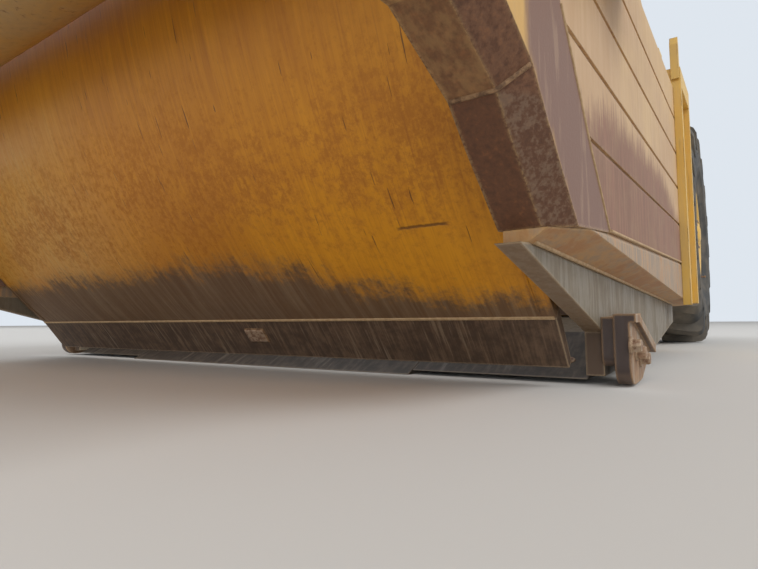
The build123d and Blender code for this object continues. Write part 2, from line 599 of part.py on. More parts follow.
def cylinder_barrel(eye, aim, radius, length, lead, eye_outer, eye_bore, eye_width, rod_bore):
    """Barrel with its eye at one place, aimed at another, bored for its rod."""
    tube = Pos(lead + length / 2, 0, 0) * Cylinder(radius, length, rotation=(0, 90, 0))
    gland = Pos(lead + length - 25, 0, 0) * Cylinder(radius + 8, 50, rotation=(0, 90, 0))
    neck = Pos(lead / 2 + 3, 0, 0) * Box(lead + 6, eye_width, eye_outer * 1.2)
    shape = tube + gland + neck + Cylinder(eye_outer, eye_width, rotation=(90, 0, 0))
    shape -= Cylinder(eye_bore, eye_width + 10, rotation=(90, 0, 0))
    shape -= Pos(lead + length / 2 + 30, 0, 0) * Cylinder(rod_bore, length, rotation=(0, 90, 0))
    turn = math.degrees(math.atan2(aim[1] - eye[1], aim[0] - eye[0]))
    return Pos(eye[0], 0, eye[1]) * Rot(0, -turn, 0) * shape


def cylinder_rod(eye, aim, radius, inside, neck, eye_outer, eye_bore, eye_width):
    """Rod with its eye at the aimed place, reaching back into the barrel."""
    distance = math.hypot(aim[0] - eye[0], aim[1] - eye[1])
    stem_length = distance - neck - inside
    stem = Pos(inside + stem_length / 2, 0, 0) * Cylinder(radius, stem_length, rotation=(0, 90, 0))
    ring = Pos(distance, 0, 0) * Cylinder(eye_outer, eye_width, rotation=(90, 0, 0))
    flat_length = neck - eye_outer + 20
    flat = Pos(distance - neck + flat_length / 2 - 6, 0, 0) * Box(flat_length + 12, eye_width, radius * 1.6)
    shape = stem + flat + ring - Pos(distance, 0, 0) * Cylinder(eye_bore, eye_width + 10, rotation=(90, 0, 0))
    turn = math.degrees(math.atan2(aim[1] - eye[1], aim[0] - eye[0]))
    return Pos(eye[0], 0, eye[1]) * Rot(0, -turn, 0) * shape


def draft_tube():
    """Cross tube of the draft frame, with the brackets that the lift cylinders hang from."""
    tube = cross_bar(tube_centre, TUBE_RADIUS, -arm_inner_y, arm_inner_y)
    bx, bz = lift_bracket
    tx, tz = tube_centre
    cheek = [(tx - 160, tz + 80), (tx + 110, tz + 150), (bx - 72, bz - 60), (bx + 72, bz - 60),
             (bx + 72, bz + 72), (bx - 72, bz + 72)]
    cheek = eased(cheek, (3, 50), (4, 60), (5, 60))
    near, far = LIFT_FORK_GAP / 2, LIFT_FORK_GAP / 2 + LIFT_CHEEK_T
    for y in (lift_y, -lift_y):
        tube += slab(cheek, y - far, y - near) + slab(cheek, y + near, y + far)
        tube += cross_bar(lift_bracket, LIFT_PIN_RADIUS + LIFT_SLEEVE, y - far, y + far)
    return tube


def draft_arm():
    """Arm from the cross tube back to the trunnion on the bowl's side."""
    px, pz = draft_pivot
    tx, tz = tube_centre
    outline = [(px, pz - 130), (px + 330, pz - 165), (tx, tz - TUBE_RADIUS), (tx, tz + TUBE_RADIUS),
               (px + 360, pz + 190), (px, pz + 130)]
    outer_y = arm_inner_y + ARM_WIDTH
    arm = slab(eased(outline, (1, ARM_EASE), (4, ARM_EASE)), arm_inner_y, outer_y)
    arm += cross_bar(draft_pivot, ARM_BOSS_RADIUS, arm_inner_y, outer_y + 12)
    arm += cross_bar(tube_centre, TUBE_RADIUS + 20, arm_inner_y, outer_y)
    return arm - cross_bar(draft_pivot, TRUNNION_RADIUS + RUNNING_GAP, arm_inner_y - 10, outer_y + 20)


def gooseneck():
    """Gooseneck box, drawn level, that rises from the tube and narrows on its way to the hitch."""
    tube_x, tube_z = level(tube_centre)
    neck_x = pivot_level[0] + KINGPIN_AHEAD - HITCH_BACK
    high_z = pivot_level[1] + EAR_HIGH_Z + HITCH_RISE
    top_x = tube_x + NECK_LEVEL_X
    lower = [(tube_x + 60, tube_z - 0.75 * TUBE_RADIUS), (tube_x + NECK_BEND, tube_z + 60),
             (top_x, high_z - NECK_DEPTH - 80), (neck_x, high_z - NECK_DEPTH)]
    upper = [(neck_x, high_z), (top_x - 50, high_z - 30), (tube_x + NECK_BEND - 170, tube_z + 520),
             (tube_x - 40, tube_z + 0.75 * TUBE_RADIUS)]
    side = eased(lower + upper, (1, NECK_EASE_LOW), (2, NECK_EASE_HIGH), (5, NECK_EASE_HIGH),
                 (6, NECK_EASE_LOW))
    plan = [(tube_x - 200, NECK_ROOT_HALF), (tube_x + 250, NECK_ROOT_HALF), (top_x, NECK_HALF_WIDTH),
            (neck_x + 10, NECK_HALF_WIDTH), (neck_x + 10, -NECK_HALF_WIDTH), (top_x, -NECK_HALF_WIDTH),
            (tube_x + 250, -NECK_ROOT_HALF), (tube_x - 200, -NECK_ROOT_HALF)]
    neck = slab(side, -NECK_ROOT_HALF, NECK_ROOT_HALF) & plate(plan, tube_z - 600, high_z + 600)
    return neck - cross_bar((tube_x, tube_z), TUBE_RADIUS, -NECK_ROOT_HALF - 10, NECK_ROOT_HALF + 10)


def hitch_head():
    """Hitch head: upper and lower ears on one back, bored for the vertical kingpin."""
    neck_x = pivot_level[0] + KINGPIN_AHEAD - HITCH_BACK
    pin_x = pivot_level[0] + KINGPIN_AHEAD
    low = pivot_level[1] + EAR_LOW_Z
    high = pivot_level[1] + EAR_HIGH_Z
    web_x = neck_x + 160
    outline = [(neck_x, low), (pin_x, low), (pin_x, low + EAR_T), (web_x + 60, low + EAR_T),
               (web_x, low + EAR_T + 100), (web_x, high - EAR_T - 60), (web_x + 60, high - EAR_T),
               (pin_x, high - EAR_T), (pin_x, high), (pin_x - KINGPIN_RADIUS - 25, high),
               (neck_x + 230, high + HITCH_RISE), (neck_x, high + HITCH_RISE)]
    head = slab(eased(outline, (0, 90), (10, 140)), -HITCH_HALF_WIDTH, HITCH_HALF_WIDTH)
    for z in (low, high - EAR_T):
        head += Pos(pin_x, 0, z + EAR_T / 2) * Cylinder(HITCH_HALF_WIDTH, EAR_T)
    return head - Pos(pin_x, 0, (low + high) / 2) * Cylinder(KINGPIN_RADIUS, high - low + 40)


def tyre():
    """Tyre of flat facets, one for each traction lug, standing on the tips of its lugs."""
    body_radius = TYRE_RADIUS - LUG_HEIGHT
    half = TYRE_WIDTH / 2
    outer_half = [(RIM_RADIUS + 30, half - 60), (RIM_RADIUS + 170, half), (body_radius - 190, half),
                  (body_radius - 60, half - 26), (body_radius, half - 120)]
    profile = [(radius, -y) for radius, y in outer_half] + outer_half[::-1]
    bead = RIM_RADIUS + 2
    shape = turned(profile) - turned([(bead, -half), (bead, half)])
    side_reach = (LUG_LENGTH * math.cos(lug_turn) + LUG_WIDTH * math.sin(lug_turn)) / 2
    crown = math.sqrt(TYRE_RADIUS ** 2 - lug_spread ** 2)
    lug = Pos(0, half - side_reach - 2, LUG_ROOT / 2 - crown) * Rot(0, 0, LUG_SLANT) * Box(
        LUG_WIDTH, LUG_LENGTH, LUG_ROOT)
    lugs = []
    for step in range(TYRE_SIDES):
        one = lug if step % 2 else mirror(lug, about=Plane.XZ)
        lugs.append(Rot(0, 360 / TYRE_SIDES * step, 0) * one)
    return Pos(0, tyre_y, 0) * Rot(0, wheel_turn, 0) * (shape + lugs)


def rim():
    """Rim with its disc and hub, turning on the spindle."""
    half = TYRE_WIDTH / 2
    edge, bowl = RIM_RADIUS + 1, RIM_RADIUS - RIM_T
    shape = turned([(edge, -half + 60), (edge, half - 60)])
    shape -= turned([(bowl, RIM_DISC_Y), (bowl, half - 90), (edge - 6, half - 55)])
    disc_y = RIM_DISC_Y - 40
    cone = turned([(HUB_RADIUS, hub_inner_y - tyre_y), (bowl, disc_y)])
    shape -= turned([(bowl, -half + 55), (bowl, disc_y)]) - cone
    shape += turned([(HUB_RADIUS, RIM_DISC_Y), (HUB_RADIUS - 30, half - 60)])
    shape -= cross_bar((0, 0), SPINDLE_RADIUS + RUNNING_GAP, -half, half)
    return Pos(0, tyre_y, 0) * Rot(0, wheel_turn, 0) * shape


apron_arm_high = member_inner_y - APRON_END_GAP
apron_arm_low = apron_arm_high - APRON_ARM_T
hub_inner_y = tyre_y - 110
ejector_pin_x = BEAM_REAR_X + 50
pivot_level = level(draft_pivot)
cylinder_y = apron_arm_low - 32
apron_horn = polar(apron_pivot, HORN_RADIUS, HORN_ANGLE)

tilted = Rot(0, bowl_tilt, 0)
beam_left = rear_beam()
bowl_nodes = {"bowl_floor": bowl_floor(), "rear_sill": rear_sill(beam_left), "axle": axle(),
              "push_frame": push_frame(), "push_block": push_block(),
              "ejector_barrel": ejector_barrel(), "ejector_rod": ejector_rod(),
              "ejector_blade": ejector_blade(), "ejector_tail": ejector_tail(),
              "apron_shell": apron_shell(), "apron_lip": apron_lip(), "draft_tube": draft_tube(),
              "cutting_edge_centre": cutting_edge(-EDGE_CENTRE_HALF, EDGE_CENTRE_HALF, 0)}
side_nodes = {"side_plate": side_plate(), "bowl_wall": bowl_wall(), "front_member": front_member(),
              "router_bit": router_bit(), "rear_post": rear_post(), "rear_beam": beam_left,
              "apron_arm": apron_arm(), "draft_arm": draft_arm(),
              "cutting_edge": cutting_edge(EDGE_CENTRE_HALF + EDGE_JOINT, INNER_HALF, EDGE_END_WEAR),
              "lift_barrel": Pos(0, lift_y, 0) * cylinder_barrel(
                  lift_bracket, lift_eye, LIFT_BARREL_RADIUS, LIFT_BARREL_LENGTH, LIFT_EYE_LEAD,
                  LIFT_EYE_OUTER, LIFT_PIN_RADIUS + LIFT_SLEEVE + RUNNING_GAP, LIFT_FORK_GAP - 10,
                  LIFT_ROD_RADIUS + RUNNING_GAP),
              "lift_rod": Pos(0, lift_y, 0) * cylinder_rod(
                  lift_bracket, lift_eye, LIFT_ROD_RADIUS, LIFT_ROD_INSIDE, LIFT_ROD_NECK, LIFT_EYE_OUTER,
                  LIFT_PIN_RADIUS + LIFT_EYE_SLACK, LIFT_FORK_GAP - 10),
              "apron_barrel": Pos(0, cylinder_y, 0) * cylinder_barrel(
                  APRON_ANCHOR, apron_horn, APRON_BARREL_RADIUS, APRON_BARREL_LENGTH, APRON_EYE_LEAD,
                  APRON_BARREL_RADIUS, APRON_EYE_PIN + RUNNING_GAP, APRON_EYE_WIDTH,
                  APRON_ROD_RADIUS + RUNNING_GAP),
              "apron_rod": Pos(0, cylinder_y, 0) * cylinder_rod(
                  APRON_ANCHOR, apron_horn, APRON_ROD_RADIUS, APRON_ROD_INSIDE, APRON_ROD_NECK,
                  APRON_BARREL_RADIUS + 10, APRON_EYE_PIN + APRON_EYE_SLACK, APRON_EYE_WIDTH)}
level_side_nodes = {"tyre": tyre(), "rim": rim()}

nodes = {name: tilted * shape for name, shape in bowl_nodes.items()}
for name, shape in side_nodes.items():
    for side, half_shape in both_sides(shape).items():
        nodes[f"{name}_{side}"] = tilted * half_shape
for name, shape in level_side_nodes.items():
    for side, half_shape in both_sides(shape).items():
        nodes[f"{name}_{side}"] = half_shape
nodes["gooseneck"] = gooseneck()
nodes["hitch_head"] = hitch_head()

front_x = nodes["hitch_head"].bounding_box().max.X
rear_x = nodes["push_block"].bounding_box().min.X
axle_x = -(front_x + rear_x) / 2
os.makedirs("parts", exist_ok=True)
for name, shape in nodes.items():
    export_step(Pos(axle_x, 0, TYRE_RADIUS) * shape, f"parts/{name}.step")


def place(point):
    """Give a place of the bowl's frame in the model's frame."""
    x, z = level(point)
    return round(x + axle_x, 3), round(z + TYRE_RADIUS, 3)


print("axle", round(axle_x, 3), "tilt", round(bowl_tilt, 4), "length", round(front_x - rear_x, 1))
for name, point in (("apron pivot", apron_pivot), ("draft pivot", draft_pivot),
                    ("lift bracket", lift_bracket), ("apron anchor", APRON_ANCHOR),
                    ("lift eye", lift_eye), ("apron horn", apron_horn)):
    print(name, place(point))
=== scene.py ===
"""Dresses the scraper bowl section: finishes, welds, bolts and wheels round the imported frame."""

import json
import logging
import math
from contextlib import AbstractContextManager, contextmanager
from dataclasses import dataclass, field
from enum import Enum
from functools import cache
from typing import Iterable, Iterator, Sequence

import bmesh
import bpy
from mathutils import Matrix, Vector
from mathutils.bvhtree import BVHTree


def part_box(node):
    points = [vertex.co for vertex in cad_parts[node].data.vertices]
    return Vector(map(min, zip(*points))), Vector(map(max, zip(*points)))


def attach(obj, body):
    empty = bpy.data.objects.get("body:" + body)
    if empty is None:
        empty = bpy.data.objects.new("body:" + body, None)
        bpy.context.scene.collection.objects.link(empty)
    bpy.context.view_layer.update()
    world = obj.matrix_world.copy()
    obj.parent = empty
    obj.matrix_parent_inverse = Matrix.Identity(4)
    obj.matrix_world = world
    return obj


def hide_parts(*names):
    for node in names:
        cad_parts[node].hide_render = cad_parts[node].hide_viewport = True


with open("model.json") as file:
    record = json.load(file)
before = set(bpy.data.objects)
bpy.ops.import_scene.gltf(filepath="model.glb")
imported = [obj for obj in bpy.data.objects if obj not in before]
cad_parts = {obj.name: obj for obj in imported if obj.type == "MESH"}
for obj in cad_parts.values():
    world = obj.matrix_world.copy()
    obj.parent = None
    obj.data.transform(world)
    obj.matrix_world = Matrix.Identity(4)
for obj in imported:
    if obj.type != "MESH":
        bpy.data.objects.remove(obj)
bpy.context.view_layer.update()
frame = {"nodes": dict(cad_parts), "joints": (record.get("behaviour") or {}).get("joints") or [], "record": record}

log = logging.getLogger("scraper")
logging.basicConfig(level=logging.INFO, format="%(name)s: %(message)s")

Colour = tuple[float, float, float]
Point = tuple[float, float, float]
Pair = tuple[float, float]
Profile = tuple[Pair, ...]

PHOTO_WIDTH = 758
FOCAL_PIXELS = 540.0
SENSOR_MM = 36.0
MM = 0.001
SMOOTH_UNDER = math.radians(34)

# Where the lines start that look for a surface, in the bowl's frame
AHEAD, BESIDE, ABOVE, BELOW = 5200.0, 2200.0, 2600.0, -1200.0

# Length of a weld bead's ripple, the radius of its low part as a share, and a direction that no bead has
RIPPLE, RIPPLE_LOW = 9.0, 0.94
OBLIQUE = Vector((0.31, 0.17, 0.93))

# Bend of the surface at which the mask of worn edges starts and is full
EDGE_LOW, EDGE_HIGH = 0.02, 0.16


class Side(Enum):
    """Side of the machine, whose value is the sign of Y there."""

    LEFT = 1
    RIGHT = -1

    @property
    def label(self) -> str:
        """Give the word that ends the names of this side's nodes."""
        return self.name.lower()


class Value:
    """A shader socket that takes part in Python arithmetic, through Math nodes."""

    def __init__(self, shader: "Shader", socket: bpy.types.NodeSocket | None) -> None:
        """Wrap one output socket.

        Args:
            shader: The shader that holds the socket's node.
            socket: The output socket.
        """
        self.shader = shader
        self.socket = socket

    def _math(self, operation: str, first: "Value | float", second: "Value | float") -> "Value":
        """Add a Math node."""
        return self.shader.node("ShaderNodeMath", {"operation": operation}, {0: first, 1: second})

    def __add__(self, other: "Value | float") -> "Value":
        """Sum."""
        return self._math("ADD", self, other)

    __radd__ = __add__

    def __sub__(self, other: "Value | float") -> "Value":
        """Difference."""
        return self._math("SUBTRACT", self, other)

    def __rsub__(self, other: float) -> "Value":
        """Difference, the other way round."""
        return self._math("SUBTRACT", other, self)

    def __mul__(self, other: "Value | float") -> "Value":
        """Product."""
        return self._math("MULTIPLY", self, other)

    __rmul__ = __mul__

    def __or__(self, other: "Value | float") -> "Value":
        """The larger of two."""
        return self._math("MAXIMUM", self, other)

    def __and__(self, other: "Value | float") -> "Value":
        """The smaller of two."""
        return self._math("MINIMUM", self, other)

    def __abs__(self) -> "Value":
        """Size without the sign."""
        return self._math("ABSOLUTE", self, 0.0)


class BowlFrame:
    """Turns places in the bowl's own frame, in millimetres, into the model's frame in metres."""

    def __init__(self) -> None:
        """Read the axle and the bowl's tilt from the joints."""
        self.joints = {joint["name"]: joint for joint in frame["joints"]}
        self.axle = Vector(self.joints["wheel_left_spin"]["pos_m"])
        self.axle.y = 0.0
        slide = self.joints["ejector_slide"]["axis"]
        self.tilt = math.atan2(-slide[2], slide[0])
        self.matrix = Matrix.Translation(self.axle) @ Matrix.Rotation(self.tilt, 4, "Y")
        self.back = self.matrix.inverted()
        self._trees: dict[str, BVHTree] = {}

    def at(self, x: float, y: float, z: float) -> Vector:
        """Give one place of the bowl in the model's frame."""
        return self.matrix @ (Vector((x, y, z)) * MM)

    def local(self, place: Sequence[float]) -> Vector:
        """Give a place of the model in the bowl's frame, in millimetres."""
        return (self.back @ Vector(place)) / MM

    def way(self, direction: Sequence[float]) -> Vector:
        """Turn a direction of the bowl's frame into the model's."""
        return self.matrix.to_3x3() @ Vector(direction)

    def joint(self, name: str) -> Vector:
        """Give a joint's place in the bowl's frame, in millimetres."""
        return self.local(self.joints[name]["pos_m"])

    def tree(self, node: str) -> BVHTree:
        """Give a CAD node's faces as a tree for straight lines, made once.

        Args:
            node: The CAD node.

        Returns:
            The tree, in the model's frame.
        """
        if node not in self._trees:
            mesh = frame["nodes"][node].data
            self._trees[node] = BVHTree.FromPolygons([vertex.co.copy() for vertex in mesh.vertices],
                                                     [tuple(face.vertices) for face in mesh.polygons])
        return self._trees[node]

    def reach(self, node: str) -> Pair:
        """Give how far from the middle a node of one side starts and ends."""
        inner, outer = sorted(abs(corner.y) for corner in self.extent(node))
        return inner, outer

    def extent(self, node: str) -> tuple[Vector, Vector]:
        """Give a node's lowest and highest corners in the bowl's frame.

        Args:
            node: The CAD node.

        Returns:
            The two corners, in millimetres.
        """
        places = [self.local(vertex.co) for vertex in frame["nodes"][node].data.vertices]
        low = Vector([min(place[i] for place in places) for i in range(3)])
        high = Vector([max(place[i] for place in places) for i in range(3)])
        return low, high

    def rod_eyes(self, inset: float = 0.06) -> list[Vector]:
        """Find the eyes at the ends of the lift and apron rods.

        Args:
            inset: Distance from a rod's tip to the centre of its eye, in metres.

        Returns:
            The centres of the eyes, in the model's frame.
        """
        centres = []
        for name, slide in self.joints.items():
            if "_rod_" in name:
                barrel = name.replace("rod", "barrel").replace("slide", "turn")
                base = Vector(self.joints[barrel]["pos_m"])
                way = Vector(slide["axis"])
                rod = frame["nodes"][name.removesuffix("_slide")].data
                tip = max(way.dot(vertex.co - base) for vertex in rod.vertices)
                centres.append(base + way * (tip - inset))
        return centres

    def hit(self, node: str, start: Point, toward: Point) -> tuple[Vector, Vector] | None:
        """Find where a straight line first meets a CAD node.

        Args:
            node: The CAD node.
            start: Start of the line, in the bowl's frame.
            toward: Its direction, in the bowl's frame.

        Returns:
            The place and the outward normal in the bowl's frame, or nothing where it misses.
        """
        place, normal, _, _ = self.tree(node).ray_cast(self.at(*start), self.way(toward).normalized())
        if place is None:
            return None
        normal = (self.back.to_3x3() @ normal).normalized()
        if normal.dot(Vector(toward)) > 0:
            normal.negate()
        return self.local(place), normal

    def trace(self, node: str, starts: Iterable[Point], toward: Point) -> list[Vector]:
        """Lay a row of places on a CAD node.

        Args:
            node: The CAD node.
            starts: Starts of the lines that find the places.
            toward: The lines' direction.

        Returns:
            The places where the lines meet the node.
        """
        found = [self.hit(node, start, toward) for start in starts]
        return [place for place, _ in filter(None, found)]


def spaced(start: Sequence[float], end: Sequence[float], count: int) -> list[Point]:
    """Give evenly spaced places from a start to an end."""
    return [tuple(Vector(start).lerp(Vector(end), i / (count - 1))) for i in range(count)]


def turns(count: int, shift: float = 0.0) -> list[float]:
    """Give evenly spaced angles of a full turn, the first one shifted by a share of a step."""
    return [math.tau * (i + shift) / count for i in range(count)]


def facing_matrix(place: Vector, outward: Vector) -> Matrix:
    """Give a frame at a place of the model whose Z points outwards."""
    return Matrix.Translation(place) @ outward.to_track_quat("Z", "Y").to_matrix().to_4x4()


class Shader:
    """Builds one node material, with places given in the bowl's frame."""

    bowl: BowlFrame

    def __init__(self, name: str, world: bpy.types.World | None = None) -> None:
        """Start a material, or a world's light, with an empty node tree.

        Args:
            name: The material's name.
            world: The world, where it isn't a material.
        """
        self.material = world or bpy.data.materials.new(name)
        self.material.use_nodes = True
        self.tree = self.material.node_tree
        self.tree.nodes.clear()

    def node(self, kind: str, settings: dict, inputs: dict, output: int | str = 0) -> Value:
        """Add any node.

        Args:
            kind: The node's type.
            settings: Its own settings, which are set first.
            inputs: Values or links, by socket name or number.
            output: The output that is wanted.

        Returns:
            The output as a Value.
        """
        made = self.tree.nodes.new(kind)
        for key, value in settings.items():
            setattr(made, key, value)
        for key, value in inputs.items():
            socket = made.inputs[key]
            if isinstance(value, Value):
                self.tree.links.new(value.socket, socket)
            elif isinstance(value, tuple) and len(value) == 3 and socket.type == "RGBA":
                socket.default_value = (*value, 1.0)
            else:
                socket.default_value = value
        return Value(self, made.outputs[output] if made.outputs else None)

    def axis(self, name: str, of: str = "Object") -> Value:
        """Give one coordinate of the place on the object, in metres, or of another output."""
        where = self.node("ShaderNodeTexCoord", {}, {}, of)
        return self.node("ShaderNodeSeparateXYZ", {}, {0: where}, name)

    def along(self, x: float, z: float) -> Value:
        """Give the distance from the rear axle along a direction in the model's XZ plane, in metres."""
        shift = self.bowl.axle.x * x + self.bowl.axle.z * z
        return self.axis("X") * x + self.axis("Z") * z - shift

    def ahead(self) -> Value:
        """Give the distance ahead of the rear axle along the bowl, in metres."""
        return self.along(math.cos(self.bowl.tilt), -math.sin(self.bowl.tilt))

    def above(self) -> Value:
        """Give the height above the rear axle square to the bowl, in metres."""
        return self.along(math.sin(self.bowl.tilt), math.cos(self.bowl.tilt))

    def facing(self, name: str) -> Value:
        """Give one part of the surface's direction, from -1 to 1."""
        return self.axis(name, "Normal")

    def noise(self, scale: float, detail: float = 4.0, rough: float = 0.55,
              stretch: Point = (1, 1, 1)) -> Value:
        """Add a noise texture.

        Args:
            scale: Features per metre.
            detail: Octaves.
            rough: Strength of the finer octaves.
            stretch: Scale along each axis.

        Returns:
            A value from 0 to 1, about 0.5 on average.
        """
        where = self.node("ShaderNodeTexCoord", {}, {}, "Object")
        where = self.node("ShaderNodeMapping", {}, {"Vector": where, "Scale": stretch})
        return self.node("ShaderNodeTexNoise", {}, {"Vector": where, "Scale": scale, "Detail": detail,
                                                    "Roughness": rough})

    def step(self, value: Value, low: float, high: float) -> Value:
        """Turn a value into a soft mask, 0 below low and 1 above high."""
        return self.node("ShaderNodeMapRange", {"interpolation_type": "SMOOTHSTEP"},
                         {"Value": value, "From Min": low, "From Max": high})

    def band(self, value: Value, low: float, high: float, soft: float) -> Value:
        """Turn a value into a soft mask that is 1 between low and high."""
        return self.step(value, low - soft, low + soft) & (1 - self.step(value, high - soft, high + soft))

    def mix(self, factor: Value | float, first: Value | Colour, second: Value | Colour) -> Value:
        """Mix two colours."""
        return self.node("ShaderNodeMix", {"data_type": "RGBA"}, {0: factor, 6: first, 7: second}, 2)

    def rounded(self, radius: float) -> Value:
        """Give the surface's direction with its sharp edges rounded off."""
        return self.node("ShaderNodeBevel", {"samples": 4}, {"Radius": radius})

    def edges(self, radius: float) -> Value:
        """Mask of the worn edges, where the rounded direction leaves the flat one.

        Args:
            radius: Radius of the rounding, in metres.

        Returns:
            A value from 0 to 1.
        """
        flat = self.node("ShaderNodeNewGeometry", {}, {}, "Normal")
        along = self.node("ShaderNodeVectorMath", {"operation": "DOT_PRODUCT"},
                          {0: self.rounded(radius), 1: flat}, "Value")
        return self.step(1 - along, EDGE_LOW, EDGE_HIGH)

    def surface(self, base: Value | Colour, rough: Value | float, metal: Value | float = 0.0,
                height: Value | None = None, depth: float = 0.002) -> bpy.types.Material:
        """Finish the material with one Principled shader.

        Args:
            base: Base colour.
            rough: Roughness.
            metal: Metallic.
            height: Height for the bump, from 0 to 1.
            depth: The bump's depth in metres.

        Returns:
            The material.
        """
        inputs = {"Base Color": base, "Roughness": rough, "Metallic": metal}
        if height is not None:
            inputs["Normal"] = self.node("ShaderNodeBump", {}, {"Height": height, "Distance": depth,
                                                                "Normal": self.rounded(0.005)})
        shader = self.node("ShaderNodeBsdfPrincipled", {}, inputs)
        self.node("ShaderNodeOutputMaterial", {}, {"Surface": shader})
        return self.material


@dataclass(frozen=True)
class ApronPaint:
    """Orange-yellow apron face, scoured in lines from top to bottom and brown towards the fold.

    Attributes:
        orange: Rust that shows through the paint.
        brown: Soil-scoured band above the fold.
        grey: Streaks in that band.
        tan: Painted sunlight, a paler tan over the upper part of the face's right half.
        scrape: Height and Y of the long scrape near the left end, in metres.
    """

    name: str = "apron_yellow"
    deep: Colour = (0.47, 0.172, 0.003)
    light: Colour = (0.68, 0.29, 0.008)
    orange: Colour = (0.33, 0.105, 0.010)
    brown: Colour = (0.100, 0.057, 0.031)
    grey: Colour = (0.175, 0.123, 0.078)
    tan: Colour = (0.56, 0.315, 0.075)
    scrape: Pair = (0.42, 1.116)

    def build(self) -> bpy.types.Material:
        """Make the material.

        Returns:
            The material.
        """
        s = Shader(self.name)
        across, up = s.axis("Y"), s.axis("Z")
        broad = s.noise(0.9, 5.0, 0.6)
        mottle = s.noise(4.5, 9.0, 0.72)
        speck = s.noise(42.0, 6.0, 0.74)
        grain = s.noise(1.0, 5.0, 0.62, stretch=(5, 170, 5))
        lines = s.noise(1.0, 5.0, 0.6, stretch=(2.6, 62, 2.6))
        colour = s.mix(s.step(broad * 0.65 + lines * 0.35, 0.34, 0.66), self.deep, self.light)
        # Painted sunlight: the mask named dusty lightens the upper part of the face's right half to a paler tan
        dusty = s.step(0 - across, -0.1, 0.75) & s.band(up, 0.34, 0.92, 0.12)
        colour = s.mix(dusty * (0.30 + 0.5 * s.step(lines, 0.35, 0.65)), colour, self.tan)
        rusty = s.band(up, 0.34, 0.80, 0.24)
        orange = s.step(speck * 0.6 + mottle * 0.4 + rusty * 0.06, 0.50, 0.66) * (0.25 + 0.75 * rusty)
        colour = s.mix(orange * 0.62, colour, self.orange)
        colour = s.mix(s.step(grain, 0.52, 0.70) * 0.34, colour, self.orange)
        edge_up = 0.37 - 0.13 * s.step(across, 0.3, 1.3)
        uneven = (mottle - 0.5) * 0.26 + (speck - 0.5) * 0.14 + (lines - 0.5) * 0.05
        scoured = 1 - s.step(up - edge_up + uneven, -0.05, 0.045)
        brown = s.mix(s.step(lines * 0.5 + grain * 0.3 + mottle * 0.2, 0.42, 0.64), self.brown, self.grey)
        colour = s.mix(scoured * 0.92, colour, brown)
        scratch = s.step(s.noise(1.0, 2.0, 0.5, stretch=(7, 105, 7)), 0.715, 0.735)
        level, along = self.scrape
        scrape = s.band(up + (lines - 0.5) * 0.006, level - 0.003, level + 0.003, 0.002)
        scrape = scrape & s.band(across, along - 0.07, along + 0.07, 0.01)
        colour = s.mix((scratch | scrape) * 0.75, colour, (0.075, 0.030, 0.010))
        height = grain * 0.22 + orange * -0.35 + scoured * -0.25 - (scratch | scrape) * 0.8
        rough = 0.40 + orange * 0.22 + scoured * 0.22 + speck * 0.08
        return s.surface(colour, rough, 0.0, height, 0.0011)


@dataclass(frozen=True)
class WornPaint:
    """Machine paint that the weather has faded, with dust and with rust at its edges.

    Attributes:
        rust_level: Noise level above which rust shows; lower means more.
        edge_rust: How strongly edges rust.
    """

    name: str
    paint: Colour
    faded: Colour
    rust: Colour = (0.15, 0.052, 0.018)
    dust: Colour = (0.42, 0.32, 0.21)
    rust_level: float = 0.66
    dust_amount: float = 0.35
    edge_rust: float = 0.14

    def build(self) -> bpy.types.Material:
        """Make the material.

        Returns:
            The material.
        """
        s = Shader(self.name)
        broad = s.noise(1.6, 5.0, 0.6)
        patch = s.noise(5.5, 9.0, 0.70)
        fine = s.noise(70.0, 4.0, 0.6)
        runs = s.noise(9.0, 6.0, 0.65, stretch=(5.0, 5.0, 0.35))
        edge = s.edges(0.010)
        rust = s.step(patch * 0.62 + runs * 0.38 + edge * self.edge_rust, self.rust_level - 0.03,
                      self.rust_level + 0.03)
        top = s.step(s.facing("Z"), 0.2, 0.9)
        dusty = (s.step(broad * 0.55 + runs * 0.45, 0.36, 0.66) | top * 0.85) * self.dust_amount
        colour = s.mix(s.step(broad, 0.35, 0.65), self.paint, self.faded)
        colour = s.mix(dusty, colour, self.dust)
        colour = s.mix(s.step(runs, 0.57, 0.68) * 0.30, colour, tuple(0.5 * c for c in self.paint))
        colour = s.mix(rust * (0.6 + 0.4 * fine), colour, s.mix(fine, self.rust, (0.24, 0.10, 0.035)))
        height = fine * 0.2 + rust * -0.5 + patch * 0.25
        return s.surface(colour, 0.40 + rust * 0.36 + dusty * 0.42, 0.0, height, 0.0012)


